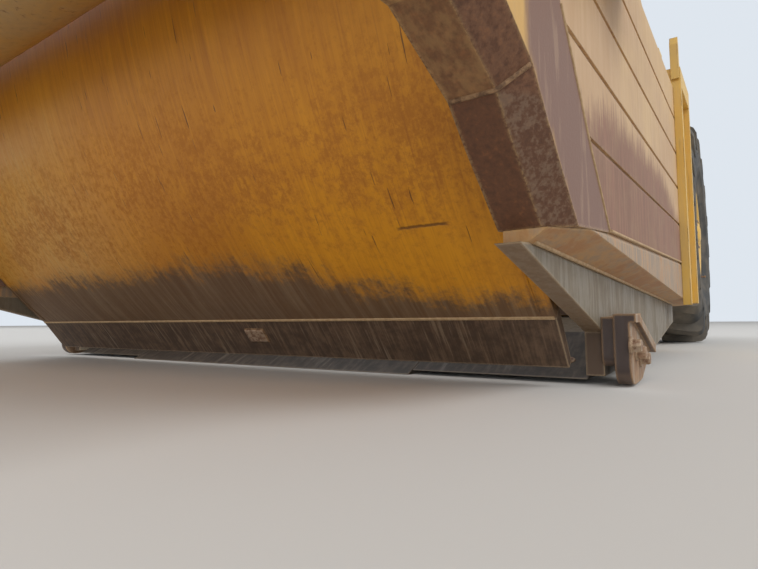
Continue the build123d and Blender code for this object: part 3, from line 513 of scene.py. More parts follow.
@dataclass(frozen=True)
class WallPaint:
    """Sand-coloured side wall, purple-brown between its two lowest laps, with runs down from above.

    Attributes:
        sand: Dusty paint of the upper panels.
        pale: Its paler streaks.
        purple: Rusted panel.
        grey: Lowest panel.
        orange: Rust patches on the lowest panel.
        under: Underside of the wall's belly.
        laps: Heights of the two lowest laps above the axle, in metres.
    """

    name: str = "wall_paint"
    sand: Colour = (0.47, 0.295, 0.155)
    pale: Colour = (0.60, 0.43, 0.27)
    purple: Colour = (0.180, 0.088, 0.058)
    grey: Colour = (0.27, 0.205, 0.15)
    orange: Colour = (0.36, 0.15, 0.05)
    under: Colour = (0.47, 0.255, 0.095)
    laps: Pair = (-0.334, -0.145)

    def build(self) -> bpy.types.Material:
        """Make the material.

        Returns:
            The material.
        """
        s = Shader(self.name)
        ahead, above = s.ahead(), s.above()
        broad = s.noise(1.8, 6.0, 0.62)
        patch = s.noise(8.0, 8.0, 0.7)
        fine = s.noise(110.0, 3.0, 0.6)
        runs = s.noise(1.0, 6.0, 0.62, stretch=(42, 42, 3.0))
        edge = s.edges(0.010)
        low, high = self.laps
        colour = s.mix(s.step(broad * 0.6 + runs * 0.4, 0.36, 0.66) * 0.75, self.sand, self.pale)
        top = s.step(broad + above * 0.25, 0.45, 0.65)
        colour = s.mix(top * 0.25, colour, (0.62, 0.40, 0.13))
        reach = high + 0.13 * s.band(ahead, 2.4, 3.85, 0.35) + (runs - 0.5) * 0.30 + (patch - 0.5) * 0.12
        purple = (1 - s.step(above - reach, -0.06, 0.05)) * s.step(above, low - 0.003, low + 0.003)
        lighter = tuple(1.45 * c for c in self.purple)
        tint = s.mix(s.step(runs * 0.6 + patch * 0.4, 0.40, 0.64), self.purple, lighter)
        colour = s.mix(purple * (0.78 + 0.16 * s.step(patch, 0.35, 0.6)), colour, tint)
        lowest = 1 - s.step(above, low - 0.005, low + 0.005)
        panel = s.mix(s.step(runs * 0.6 + patch * 0.4, 0.42, 0.62), self.grey, self.sand)
        rusty = s.step(patch * 0.6 + runs * 0.4 - ahead * 0.02, 0.46, 0.54)
        panel = s.mix(rusty * 0.6, panel, self.orange)
        colour = s.mix(lowest, colour, panel)
        soffit = s.step(0 - s.facing("Z"), 0.30, 0.65) | s.step(s.facing("X"), 0.50, 0.80)
        scuffed = s.noise(1.0, 6.0, 0.66, stretch=(14, 40, 14))
        colour = s.mix(soffit * (0.35 + 0.6 * s.step(scuffed, 0.36, 0.60)), colour, self.under)
        colour = s.mix(soffit * s.step(patch + scuffed * 0.3, 0.62, 0.74) * 0.6, colour, self.orange)
        colour = s.mix(edge * s.step(fine, 0.35, 0.6) * 0.65, colour, (0.60, 0.39, 0.16))
        height = fine * 0.2 + patch * 0.3 + purple * -0.2
        return s.surface(colour, 0.62 + purple * 0.1 - edge * 0.15, 0.0, height, 0.0012)


@dataclass(frozen=True)
class MemberPlate:
    """Front member: rust-brown front and underside, and an outer face that goes from gold to purple.

    Attributes:
        brown: Rusted plate.
        dark: Its darkest places.
        fleck: Orange flecks.
        gold: Worn paint near the front edge of the outer face.
        purple: Rusted paint behind it.
        bright: Metal and paint polished on the edges, partly a painted sunlit highlight along them.
        knee: Ahead and above of the front edge's bend, in metres.
        soffit: Height of the member's underside ahead of the bend.
    """

    name: str = "rusty_plate"
    brown: Colour = (0.158, 0.064, 0.027)
    dark: Colour = (0.092, 0.038, 0.018)
    fleck: Colour = (0.290, 0.110, 0.038)
    gold: Colour = (0.58, 0.345, 0.105)
    purple: Colour = (0.190, 0.100, 0.068)
    bright: Colour = (0.62, 0.41, 0.18)
    knee: Pair = (4.28, -0.156)
    soffit: float = -0.08

    def build(self) -> bpy.types.Material:
        """Make the material.

        Returns:
            The material.
        """
        s = Shader(self.name)
        ahead, above = s.ahead(), s.above()
        broad = s.noise(2.6, 6.0, 0.62)
        flake = s.noise(80.0, 6.0, 0.68)
        fine = s.noise(150.0, 3.0, 0.6)
        streak = s.noise(1.0, 6.0, 0.62, stretch=(30, 45, 5))
        edge = s.edges(0.012)
        knee_ahead, knee_above = self.knee
        outer = s.step(abs(s.facing("Y")), 0.80, 0.93)
        below_knee = 1 - s.step(above, knee_above - 0.006, knee_above + 0.006)
        colour = s.mix(s.step(flake * 0.72 + broad * 0.28, 0.36, 0.58), self.dark, self.brown)
        colour = s.mix(below_knee * 0.38, colour, self.dark)
        flecks = s.step(flake * 0.88 + broad * 0.12 + (1 - below_knee) * 0.02, 0.565, 0.66)
        colour = s.mix(flecks * 0.36, colour, self.fleck)
        scaly = s.band(abs(s.facing("Y")), 0.30, 0.80, 0.06) * s.step(flake * 0.6 + broad * 0.4, 0.47, 0.56)
        colour = s.mix(scaly * (0.10 + 0.26 * below_knee), colour, (0.21, 0.165, 0.115))
        soffit_face = s.step(0 - s.facing("Z"), 0.86, 0.96)
        colour = s.mix(soffit_face * (0.25 + 0.6 * s.step(streak, 0.40, 0.62)), colour, (0.43, 0.245, 0.095))
        line = (ahead - knee_ahead + knee_above) & self.soffit
        depth = above - line + (streak - 0.5) * 0.12
        side = s.mix(s.step(depth - 0.15 * s.step(above, -0.13, 0.07), 0.02, 0.09), self.gold, self.purple)
        side = s.mix(s.step(depth, 0.42, 0.60) * 0.8, side, (0.49, 0.315, 0.165))
        side = s.mix(s.step(streak, 0.52, 0.64) * 0.28, side, (0.44, 0.30, 0.19))
        colour = s.mix(outer, colour, side)
        # Worn edges and a painted highlight: the edges turn a bright gold
        colour = s.mix(edge * s.step(fine + broad * 0.4, 0.55, 0.8) * 0.80, colour, self.bright)
        height = flake * (0.75 - outer * 0.6) + fine * 0.2
        return s.surface(colour, 0.74 - edge * 0.2 - outer * 0.12, edge * 0.25, height, 0.0022)


@dataclass(frozen=True)
class ScouredSteel:
    """Plate that soil keeps bare: brown to grey streaks along the flow, bright where it is worn.

    Attributes:
        worn: Polished places.
        bright: Edges, which are worn the most.
        front: Colour of the faces that look forward and down, where they differ; on the router bits this is
            painted shade.
        shade: Painted shade, a dark colour on the faces that look straight forward there.
        flow: Stretch of the streaks along each axis.
        worn_level: Noise level above which the plate is polished.
        metal: Metallic of the polished places.
    """

    name: str
    dark: Colour
    light: Colour
    worn: Colour
    bright: Colour = (0.52, 0.38, 0.23)
    front: Colour | None = None
    shade: Colour = (0.060, 0.040, 0.028)
    flow: Point = (30, 30, 4)
    worn_level: float = 0.56
    metal: float = 0.35

    def build(self) -> bpy.types.Material:
        """Make the material.

        Returns:
            The material.
        """
        s = Shader(self.name)
        broad = s.noise(3.0, 6.0, 0.62)
        flake = s.noise(18.0, 8.0, 0.72)
        fine = s.noise(140.0, 3.0, 0.6)
        streak = s.noise(1.0, 6.0, 0.64, stretch=self.flow)
        edge = s.edges(0.010)
        worn = s.step(streak * 0.6 + broad * 0.4, self.worn_level - 0.06, self.worn_level + 0.06)
        colour = s.mix(s.step(flake * 0.5 + streak * 0.5, 0.42, 0.60), self.dark, self.light)
        colour = s.mix(worn * 0.8, colour, s.mix(fine, self.worn, tuple(0.7 * c for c in self.worn)))
        if self.front:
            # Faces that look forward take the front colour, which on the router bits is painted shade, and faces
            # that look straight forward take the painted shade
            forward = s.facing("X")
            colour = s.mix(s.step(forward, 0.15, 0.40) * (0.70 + 0.4 * flake), colour, self.front)
            colour = s.mix(s.step(forward, 0.80, 0.95) * 0.85, colour, self.shade)
        colour = s.mix(edge * (0.45 + 0.4 * fine), colour, self.bright)
        height = flake * 0.5 + streak * 0.3 + fine * 0.2
        return s.surface(colour, 0.70 - worn * 0.22 - edge * 0.12, worn * self.metal, height, 0.0014)


@dataclass(frozen=True)
class WeldBead:
    """Weld metal, brown with lighter spots.

    Attributes:
        dark: Colour of the darker spots.
        light: Colour of the lighter spots.
    """

    name: str
    dark: Colour = (0.12, 0.062, 0.030)
    light: Colour = (0.34, 0.20, 0.10)

    def build(self) -> bpy.types.Material:
        """Make the material.

        Returns:
            The material.
        """
        s = Shader(self.name)
        spots = s.noise(60.0, 6.0, 0.7)
        fine = s.noise(260.0, 3.0, 0.6)
        colour = s.mix(s.step(spots, 0.38, 0.62), self.dark, self.light)
        return s.surface(colour, 0.62 + fine * 0.15, 0.15, spots * 0.5 + fine * 0.5, 0.0006)


@dataclass(frozen=True)
class TyreRubber:
    """Dusty tyre rubber, palest on the treads.

    Attributes:
        dust: Dust in the low places.
    """

    name: str = "tyre_rubber"
    rubber: Colour = (0.034, 0.033, 0.031)
    dust: Colour = (0.235, 0.195, 0.145)

    def build(self) -> bpy.types.Material:
        """Make the material.

        Returns:
            The material.
        """
        s = Shader(self.name)
        broad = s.noise(5.0, 6.0, 0.6)
        crack = s.noise(34.0, 6.0, 0.7)
        fine = s.noise(190.0, 3.0, 0.6)
        tread = 1 - s.step(abs(s.facing("Y")), 0.30, 0.75)
        dusty = (s.step(broad, 0.36, 0.70) * 0.45 + tread * 0.30) & 0.72
        colour = s.mix(dusty * (0.7 + 0.5 * crack), self.rubber, self.dust)
        height = fine * 0.4 + crack * 0.5
        return s.surface(colour, 0.80 + dusty * 0.15, 0.0, height, 0.0010)


@dataclass(frozen=True)
class RodChrome:
    """Polished cylinder rod with a little dust, and the dusty paint of the eye at its end.

    Attributes:
        eye_reach: Distance from the eye's centre over which the paint goes, in metres.
    """

    name: str = "rod_chrome"
    eye: Colour = (0.46, 0.265, 0.060)
    eye_reach: float = 0.088

    def build(self) -> bpy.types.Material:
        """Make the material.

        Returns:
            The material.
        """
        s = Shader(self.name)
        dusty = s.step(s.noise(12.0, 5.0, 0.6), 0.5, 0.8) * 0.4
        film = s.noise(1.0, 4.0, 0.6, stretch=(90, 90, 12))
        where = s.node("ShaderNodeTexCoord", {}, {}, "Object")
        painted = 0.0
        for centre in s.bowl.rod_eyes():
            away = s.node("ShaderNodeVectorMath", {"operation": "DISTANCE"}, {0: where, 1: tuple(centre)},
                          "Value")
            painted = (1 - s.step(away, self.eye_reach - 0.002, self.eye_reach)) | painted
        colour = s.mix(dusty, (0.72, 0.72, 0.70), (0.40, 0.34, 0.26))
        colour = s.mix(painted, colour, self.eye)
        rough = 0.12 + dusty * 0.5 + film * 0.08
        return s.surface(colour, rough | painted * 0.55, (1 - dusty) & (1 - painted))


FINISHES = {finish.name: finish for finish in (
    ApronPaint(),
    ScouredSteel("lip_steel", (0.060, 0.033, 0.018), (0.135, 0.080, 0.045), (0.25, 0.180, 0.115),
                 flow=(5, 95, 5), worn_level=0.60, metal=0.1),
    WallPaint(),
    MemberPlate(),
    # Bare steel: its faces that look straight forward take the default painted shade
    ScouredSteel("bare_steel", (0.160, 0.126, 0.085), (0.198, 0.158, 0.108), (0.232, 0.192, 0.136),
                 front=(0.290, 0.150, 0.060), flow=(44, 44, 6), worn_level=0.50, metal=0.12),
    ScouredSteel("edge_steel", (0.085, 0.045, 0.026), (0.19, 0.110, 0.062), (0.30, 0.215, 0.145),
                 flow=(34, 34, 4), worn_level=0.54, metal=0.2),
    ScouredSteel("dark_edge", (0.040, 0.030, 0.022), (0.085, 0.065, 0.048), (0.150, 0.125, 0.098),
                 bright=(0.24, 0.19, 0.14), flow=(6, 40, 6), worn_level=0.58, metal=0.2),
    # Router bits: rust, with painted shade as the front colour and as the shade of the faces that look forward
    ScouredSteel("bit_rust", (0.215, 0.125, 0.070), (0.350, 0.205, 0.108), (0.330, 0.255, 0.180),
                 bright=(0.56, 0.33, 0.15), front=(0.085, 0.055, 0.042), shade=(0.050, 0.034, 0.030),
                 flow=(26, 26, 3), worn_level=0.52, metal=0.1),
    WornPaint("machine_yellow", (0.66, 0.37, 0.025), (0.71, 0.44, 0.07), dust_amount=0.40, rust_level=0.67),
    WornPaint("dusty_yellow", (0.50, 0.265, 0.045), (0.47, 0.30, 0.115), dust_amount=0.72,
              dust=(0.40, 0.275, 0.150), rust_level=0.60),
    RodChrome(),
    TyreRubber(),
    WornPaint("rim_yellow", (0.70, 0.40, 0.035), (0.72, 0.46, 0.09), dust_amount=0.45, rust_level=0.68),
    WeldBead("weld"),
    WeldBead("pale_weld", (0.40, 0.26, 0.13), (0.52, 0.36, 0.20)),
    WeldBead("yellow_weld", (0.56, 0.31, 0.035), (0.66, 0.40, 0.07)),
    ScouredSteel("bolt_steel", (0.14, 0.066, 0.034), (0.33, 0.20, 0.12), (0.46, 0.35, 0.25),
                 flow=(60, 60, 60), worn_level=0.52, metal=0.4))}

# The cross tube is dustier than the other paint, the edges lie in mud, and the router bits rust and carry painted
# shade on the faces that look forward
NODE_FINISHES = {"draft_tube": "dusty_yellow",
                 **{f"router_bit_{place}": "bit_rust" for place in ("left", "right")},
                 **{f"cutting_edge_{place}": "dark_edge" for place in ("left", "centre", "right")}}


@cache
def material(name: str) -> bpy.types.Material:
    """Make a finish's material once and hand it out by name."""
    return FINISHES[name].build()


class Forge:
    """Collects the faces of one piece, in the model's metres."""

    def __init__(self) -> None:
        """Start with no face."""
        self.bm = bmesh.new()

    def loft(self, rings: Sequence[Sequence[Vector]], around: bool = False, capped: bool = True) -> None:
        """Skin a row of outlines.

        Args:
            rings: Outlines of the same number of places.
            around: Whether the last outline joins the first.
            capped: Whether the two ends are closed.
        """
        made = [[self.bm.verts.new(place) for place in ring] for ring in rings]
        pairs = list(zip(made, made[1:])) + ([(made[-1], made[0])] if around else [])
        for first, second in pairs:
            for i in range(len(first)):
                j = (i + 1) % len(first)
                self.bm.faces.new((first[i], first[j], second[j], second[i]))
        if capped and not around:
            self.bm.faces.new(list(reversed(made[0])))
            self.bm.faces.new(made[-1])

    def turned(self, profile: Sequence[Pair], where: Matrix, segments: int = 24,
               closed: bool = False) -> None:
        """Turn a profile about a local Z axis.

        Args:
            profile: Radius and height of each corner, in millimetres.
            where: Place and direction of the axis.
            segments: Number of sides.
            closed: Whether the profile is a loop; otherwise its two ends are capped.
        """
        rings = []
        for radius, height in profile:
            rings.append([where @ (Vector((radius * math.cos(turn), radius * math.sin(turn), height)) * MM)
                          for turn in turns(segments)])
        self.loft(rings, around=closed, capped=not closed)

    def hex_bolt(self, where: Matrix, across: float, head: float) -> None:
        """Set one hexagon head on its washer, a little sunk into what carries it.

        Args:
            where: Place of the washer's foot, with Z outwards.
            across: Width over the flats, in millimetres.
            head: Height of the head, in millimetres.
        """
        corner = across / math.sqrt(3)
        washer = across * 0.14
        self.turned([(corner * 1.28, -2), (corner * 1.28, washer - 1), (corner * 1.2, washer)], where, 18)
        self.turned([(corner, washer - 1), (corner, washer + head * 0.82),
                     (corner * 0.88, washer + head)], where, 6)

    def bead(self, places: Sequence[Vector], radius: float) -> None:
        """Lay a rippled weld bead along a row of places.

        Args:
            places: Where it runs, in the model's frame.
            radius: Its radius, in millimetres.
        """
        if len(places) < 2:
            return
        line = []
        for start, end in zip(places, places[1:]):
            count = max(1, round((end - start).length / (RIPPLE * MM / 2)))
            line += [start.lerp(end, i / count) for i in range(count)]
        line.append(places[-1])
        rings = []
        for i, place in enumerate(line):
            ahead = (line[min(i + 1, len(line) - 1)] - line[max(i - 1, 0)]).normalized()
            side = ahead.cross(OBLIQUE).normalized()
            up = side.cross(ahead)
            size = radius * MM * (1.0 if i % 2 else RIPPLE_LOW)
            rings.append([place + (side * math.cos(turn) + up * math.sin(turn)) * size for turn in turns(7)])
        self.loft(rings)


@dataclass
class Dressing:
    """What every sub-assembly shares: the bowl's frame and ways to make pieces, beads and bolts."""

    bowl: BowlFrame

    @contextmanager
    def piece(self, name: str, body: str, slot: str, finish: str, replaces: Sequence[str] = (),
              bevel: float = 0.0) -> Iterator[Forge]:
        """Open a piece, and make it once its faces are there.

        Args:
            name: The piece's name.
            body: The CAD body it rides on.
            slot: The record's material slot; not used.
            finish: Name of its finish.
            replaces: CAD nodes that it stands for.
            bevel: Width of the rounding of its sharp edges, in millimetres.

        Yields:
            The forge that takes the faces.
        """
        forge = Forge()
        yield forge
        bmesh.ops.recalc_face_normals(forge.bm, faces=forge.bm.faces)
        for face in forge.bm.faces:
            face.smooth = True
        mesh = bpy.data.meshes.new(name)
        forge.bm.to_mesh(mesh)
        forge.bm.free()
        mesh.set_sharp_from_angle(angle=SMOOTH_UNDER)
        mesh.materials.append(material(finish))
        piece = bpy.data.objects.new(name, mesh)
        bpy.context.scene.collection.objects.link(piece)
        if bevel:
            rounding = piece.modifiers.new("rounding", "BEVEL")
            rounding.width = bevel * MM
            rounding.segments = 2
            rounding.limit_method = "ANGLE"
        if replaces:
            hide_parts(*replaces)
        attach(piece, body)
        log.info("%s rides on %s, %d faces", name, body, len(mesh.polygons))

    def bolt_on(self, forge: Forge, node: str, start: Point, toward: Point, across: float,
                head: float) -> None:
        """Set a bolt where a line meets a CAD node.

        Args:
            forge: The piece that the bolt belongs to.
            node: The CAD node.
            start: Start of the line, in the bowl's frame.
            toward: The line's direction.
            across: Width over the flats.
            head: Height of the head.
        """
        found = self.bowl.hit(node, start, toward)
        if found is None:
            log.warning("no place for a bolt on %s at %s", node, start)
            return
        forge.hex_bolt(self.seat(found), across, head)

    def seat(self, found: tuple[Vector, Vector]) -> Matrix:
        """Give a frame on a surface that a line has met, with Z outwards."""
        return facing_matrix(self.bowl.at(*found[0]), self.bowl.way(found[1]))

    def lay(self, forge: Forge, places: Sequence[Sequence[float]], radius: float) -> None:
        """Lay a bead along places of the bowl's frame."""
        forge.bead([self.bowl.at(*place) for place in places], radius)

    def ring(self, forge: Forge, centre: Sequence[float], radius: float, bead: float,
             arc: Pair = (0.0, 360.0), steps: int = 48) -> None:
        """Lay a bead round an axis across the machine.

        Args:
            forge: The piece that the bead belongs to.
            centre: Centre, in the bowl's frame.
            radius: Radius of the round, in millimetres.
            bead: Radius of the bead.
            arc: First and last angle, in degrees.
            steps: Number of straight steps.
        """
        start, end = arc
        angles = [math.radians(start + (end - start) * i / steps) for i in range(steps + 1)]
        self.lay(forge, [(centre[0] + radius * math.cos(t), centre[1], centre[2] + radius * math.sin(t))
                         for t in angles], bead)


@dataclass
class ApronDressing(Dressing):
    """Fold bead, patch and end beads of the apron.

    Attributes:
        fold_bead: Radius of the bead along the fold.
        end_bead: Radius of the beads along the shell's ends.
        end_arc: First and last angle of those beads, in degrees.
        patch_rise: Height of the patch above the lip's middle.
    """

    fold_bead: float = 7.0
    end_bead: float = 4.0
    end_arc: Pair = (-46.5, -3.0)
    patch_y: float = 235.0
    patch_rise: float = 12.0
    patch_size: Pair = (96.0, 56.0)
    patch_t: float = 9.0
    patch_bead: float = 5.0

    def build(self) -> None:
        """Make the apron's pieces."""
        bowl = self.bowl
        low, high = bowl.extent("apron_lip")
        shell = bowl.extent("apron_shell")[1]
        pivot = bowl.joint("apron_lift")
        radius = shell.x - pivot.x
        fold_z = pivot.z - math.sqrt(radius ** 2 - (high.x - pivot.x) ** 2)
        with self.piece("apron_fold_bead", "apron", "apron_yellow", "pale_weld") as forge:
            self.lay(forge, [(high.x - 2, y, fold_z) for y in (4 - high.y, high.y - 4)], self.fold_bead)
        self.patch((fold_z + low.z) / 2 + self.patch_rise)
        with self.piece("apron_end_beads", "apron", "apron_yellow", "apron_yellow") as forge:
            for side in Side:
                self.ring(forge, (pivot.x, side.value * shell.y, pivot.z), radius + 1, self.end_bead,
                          self.end_arc, 40)

    def patch(self, middle: float) -> None:
        """Weld the small patch to the lip.

        Args:
            middle: Height of the patch's middle, in the bowl's frame.
        """
        bowl = self.bowl
        found = bowl.hit("apron_lip", (AHEAD, self.patch_y, middle), (-1, 0, 0))
        place, outward = bowl.at(*found[0]), bowl.way(found[1]).normalized()
        across = Vector((0, 1, 0))
        up = outward.cross(across).normalized()
        half, tall = self.patch_size[0] / 2, self.patch_size[1] / 2
        with self.piece("lip_patch", "apron", "lip_steel", "bolt_steel", bevel=1.5) as forge:
            rings = []
            for cut, rise in ((0, -3), (0, self.patch_t - 3), (4, self.patch_t)):
                corners = [(cut - half, cut - tall), (half - cut, cut * 1.5 - tall),
                           (half - cut * 1.6, tall - cut), (cut - half, tall - cut)]
                rings.append([place + (across * a + up * b + outward * rise) * MM for a, b in corners])
            forge.loft(rings)
        with self.piece("lip_patch_bead", "apron", "lip_steel", "weld") as forge:
            loop = [(-half, -tall), (half, -tall), (half, tall), (-half, tall), (-half, -tall)]
            forge.bead([place + (across * a + up * b) * MM for a, b in loop], self.patch_bead)


@dataclass
class BowlDressing(Dressing):
    """Beads and bolts of the bowl's two sides, its cutting edges and router bits.

    Attributes:
        low_lap: Height of the lowest lap above the axle.
        lap_end: Front end of that lap's bead.
        foot_ends: Rear and front end of the bead under the wall.
        knee: Ahead and above of the front member's bend.
        member_back: Line along which the member meets the wall.
        bit_bolts: Ahead and above of the router bit's bolts.
        bit_bolt: Width over the flats and height of such a bolt.
        edge_bolt_step: Distance between the cutting edge's bolts.
        edge_bolt_inset: Distance of these bolts behind the cutting edge's front.
        plow_head: Radius and height of the corners of their sunk heads.
        post_bolt_rows: Distances of the bolts ahead of the rear post's back.
        post_bolt_insets: Their distances from its outer face.
        post_bead_rows: Distances of the beads along its flanges ahead of its back.
        post_top: Height at which those beads end.
    """

    low_lap: float = -334.0
    lap_end: float = 3715.0
    foot_ends: Pair = (1880.0, 4060.0)
    knee: Pair = (4280.0, -156.0)
    member_back: Profile = ((4073.0, 58.0), (3883.0, -171.0), (3727.0, -336.0))
    bit_bolts: Profile = ((3520.0, -617.0), (3450.0, -641.0), (3385.0, -664.0))
    bit_bolt: Pair = (33.0, 22.0)
    edge_bolt_step: float = 152.0
    edge_bolt_inset: float = 95.0
    plow_head: Profile = ((17, -6), (17, 0.5), (15.5, 2.2), (7, 2.8))
    post_bolt: Pair = (30.0, 16.0)
    post_bolt_rows: Pair = (80.0, 250.0)
    post_bolt_insets: Pair = (105.0, 45.0)
    post_bead_rows: Pair = (44.0, 396.0)
    post_top: float = 500.0
    lap_bead: float = 4.5
    foot_bead: float = 5.5
    knee_bead: float = 5.0
    back_bead: float = 3.5
    post_bead: float = 5.0

    def build(self) -> None:
        """Make the pieces of both sides and of the edges."""
        for side in Side:
            self.wall_beads(side)
            self.member_beads(side)
            self.router_bolts(side)
            self.post_bolts(side)
        self.edge_bolts()

    def wall_beads(self, side: Side) -> None:
        """Lay the pale bead of the lowest lap, and the bead under the wall.

        Args:
            side: The machine's side.
        """
        bowl, sign = self.bowl, side.value
        wall = f"bowl_wall_{side.label}"
        rear = bowl.extent(f"rear_post_{side.label}")[1].x - 16
        foot_y = sign * (bowl.reach(f"side_plate_{side.label}")[1] + 5)
        lap = [(x, sign * BESIDE, self.low_lap + 3) for x in (rear, self.lap_end)]
        foot = [(x, foot_y, BELOW) for x in self.foot_ends]
        with self.piece(f"wall_beads_{side.label}", "bowl", "wall_paint", "pale_weld") as forge:
            self.lay(forge, bowl.trace(wall, spaced(*lap, 40), (0, -sign, 0)), self.lap_bead)
            self.lay(forge, bowl.trace(wall, spaced(*foot, 60), (0, 0, 1)), self.foot_bead)

    def member_beads(self, side: Side) -> None:
        """Lay the bead across the front member's bend and down its rear joint.

        Args:
            side: The machine's side.
        """
        bowl, sign = self.bowl, side.value
        member = f"front_member_{side.label}"
        inner, outer = bowl.reach(member)
        ahead, above = self.knee
        starts = [(ahead + 240, sign * y, above - 320) for y in (inner + 3, outer - 3)]
        with self.piece(f"member_knee_bead_{side.label}", "bowl", "rusty_plate", "weld") as forge:
            self.lay(forge, bowl.trace(member, spaced(*starts, 28), (-0.6, 0, 0.8)), self.knee_bead)
        with self.piece(f"member_rear_bead_{side.label}", "bowl", "rusty_plate", "pale_weld") as forge:
            self.lay(forge, [(x, sign * outer, z) for x, z in self.member_back], self.back_bead)

    def router_bolts(self, side: Side) -> None:
        """Set three hexagon bolts on the router bit, in a row under its hood.

        Args:
            side: The machine's side.
        """
        sign = side.value
        with self.piece(f"router_bolts_{side.label}", "bowl", "edge_steel", "bolt_steel") as forge:
            for ahead, above in self.bit_bolts:
                self.bolt_on(forge, f"router_bit_{side.label}", (ahead, sign * BESIDE, above), (0, -sign, 0),
                             *self.bit_bolt)

    def post_bolts(self, side: Side) -> None:
        """Bolt the rear post's cap and lay the beads of its flanges.

        Args:
            side: The machine's side.
        """
        bowl, sign = self.bowl, side.value
        post = f"rear_post_{side.label}"
        low = bowl.extent(post)[0]
        outer = bowl.reach(post)[1]
        with self.piece(f"post_bolts_{side.label}", "bowl", "machine_yellow", "bolt_steel") as forge:
            for row in self.post_bolt_rows:
                for inset in self.post_bolt_insets:
                    start = (low.x + row, sign * (outer - inset), ABOVE)
                    self.bolt_on(forge, post, start, (0, 0, -1), *self.post_bolt)
        bead_y = sign * (bowl.reach(f"front_member_{side.label}")[1] + 10)
        with self.piece(f"post_beads_{side.label}", "bowl", "machine_yellow", "yellow_weld") as forge:
            for row in self.post_bead_rows:
                ends = [(low.x + row, bead_y, z) for z in (low.z + 6, self.post_top)]
                self.lay(forge, ends, self.post_bead)

    def edge_bolts(self) -> None:
        """Sink the rows of plow bolts into the cutting edges."""
        bowl = self.bowl
        with self.piece("edge_bolts", "bowl", "edge_steel", "bolt_steel") as forge:
            for place in ("left", "centre", "right"):
                node = f"cutting_edge_{place}"
                low, high = bowl.extent(node)
                count = max(2, round((high.y - low.y) / self.edge_bolt_step))
                for i in range(count):
                    y = low.y + (high.y - low.y) * (i + 0.5) / count
                    found = bowl.hit(node, (high.x - self.edge_bolt_inset, y, ABOVE), (0, 0, -1))
                    if found:
                        forge.turned(self.plow_head, self.seat(found), 20)


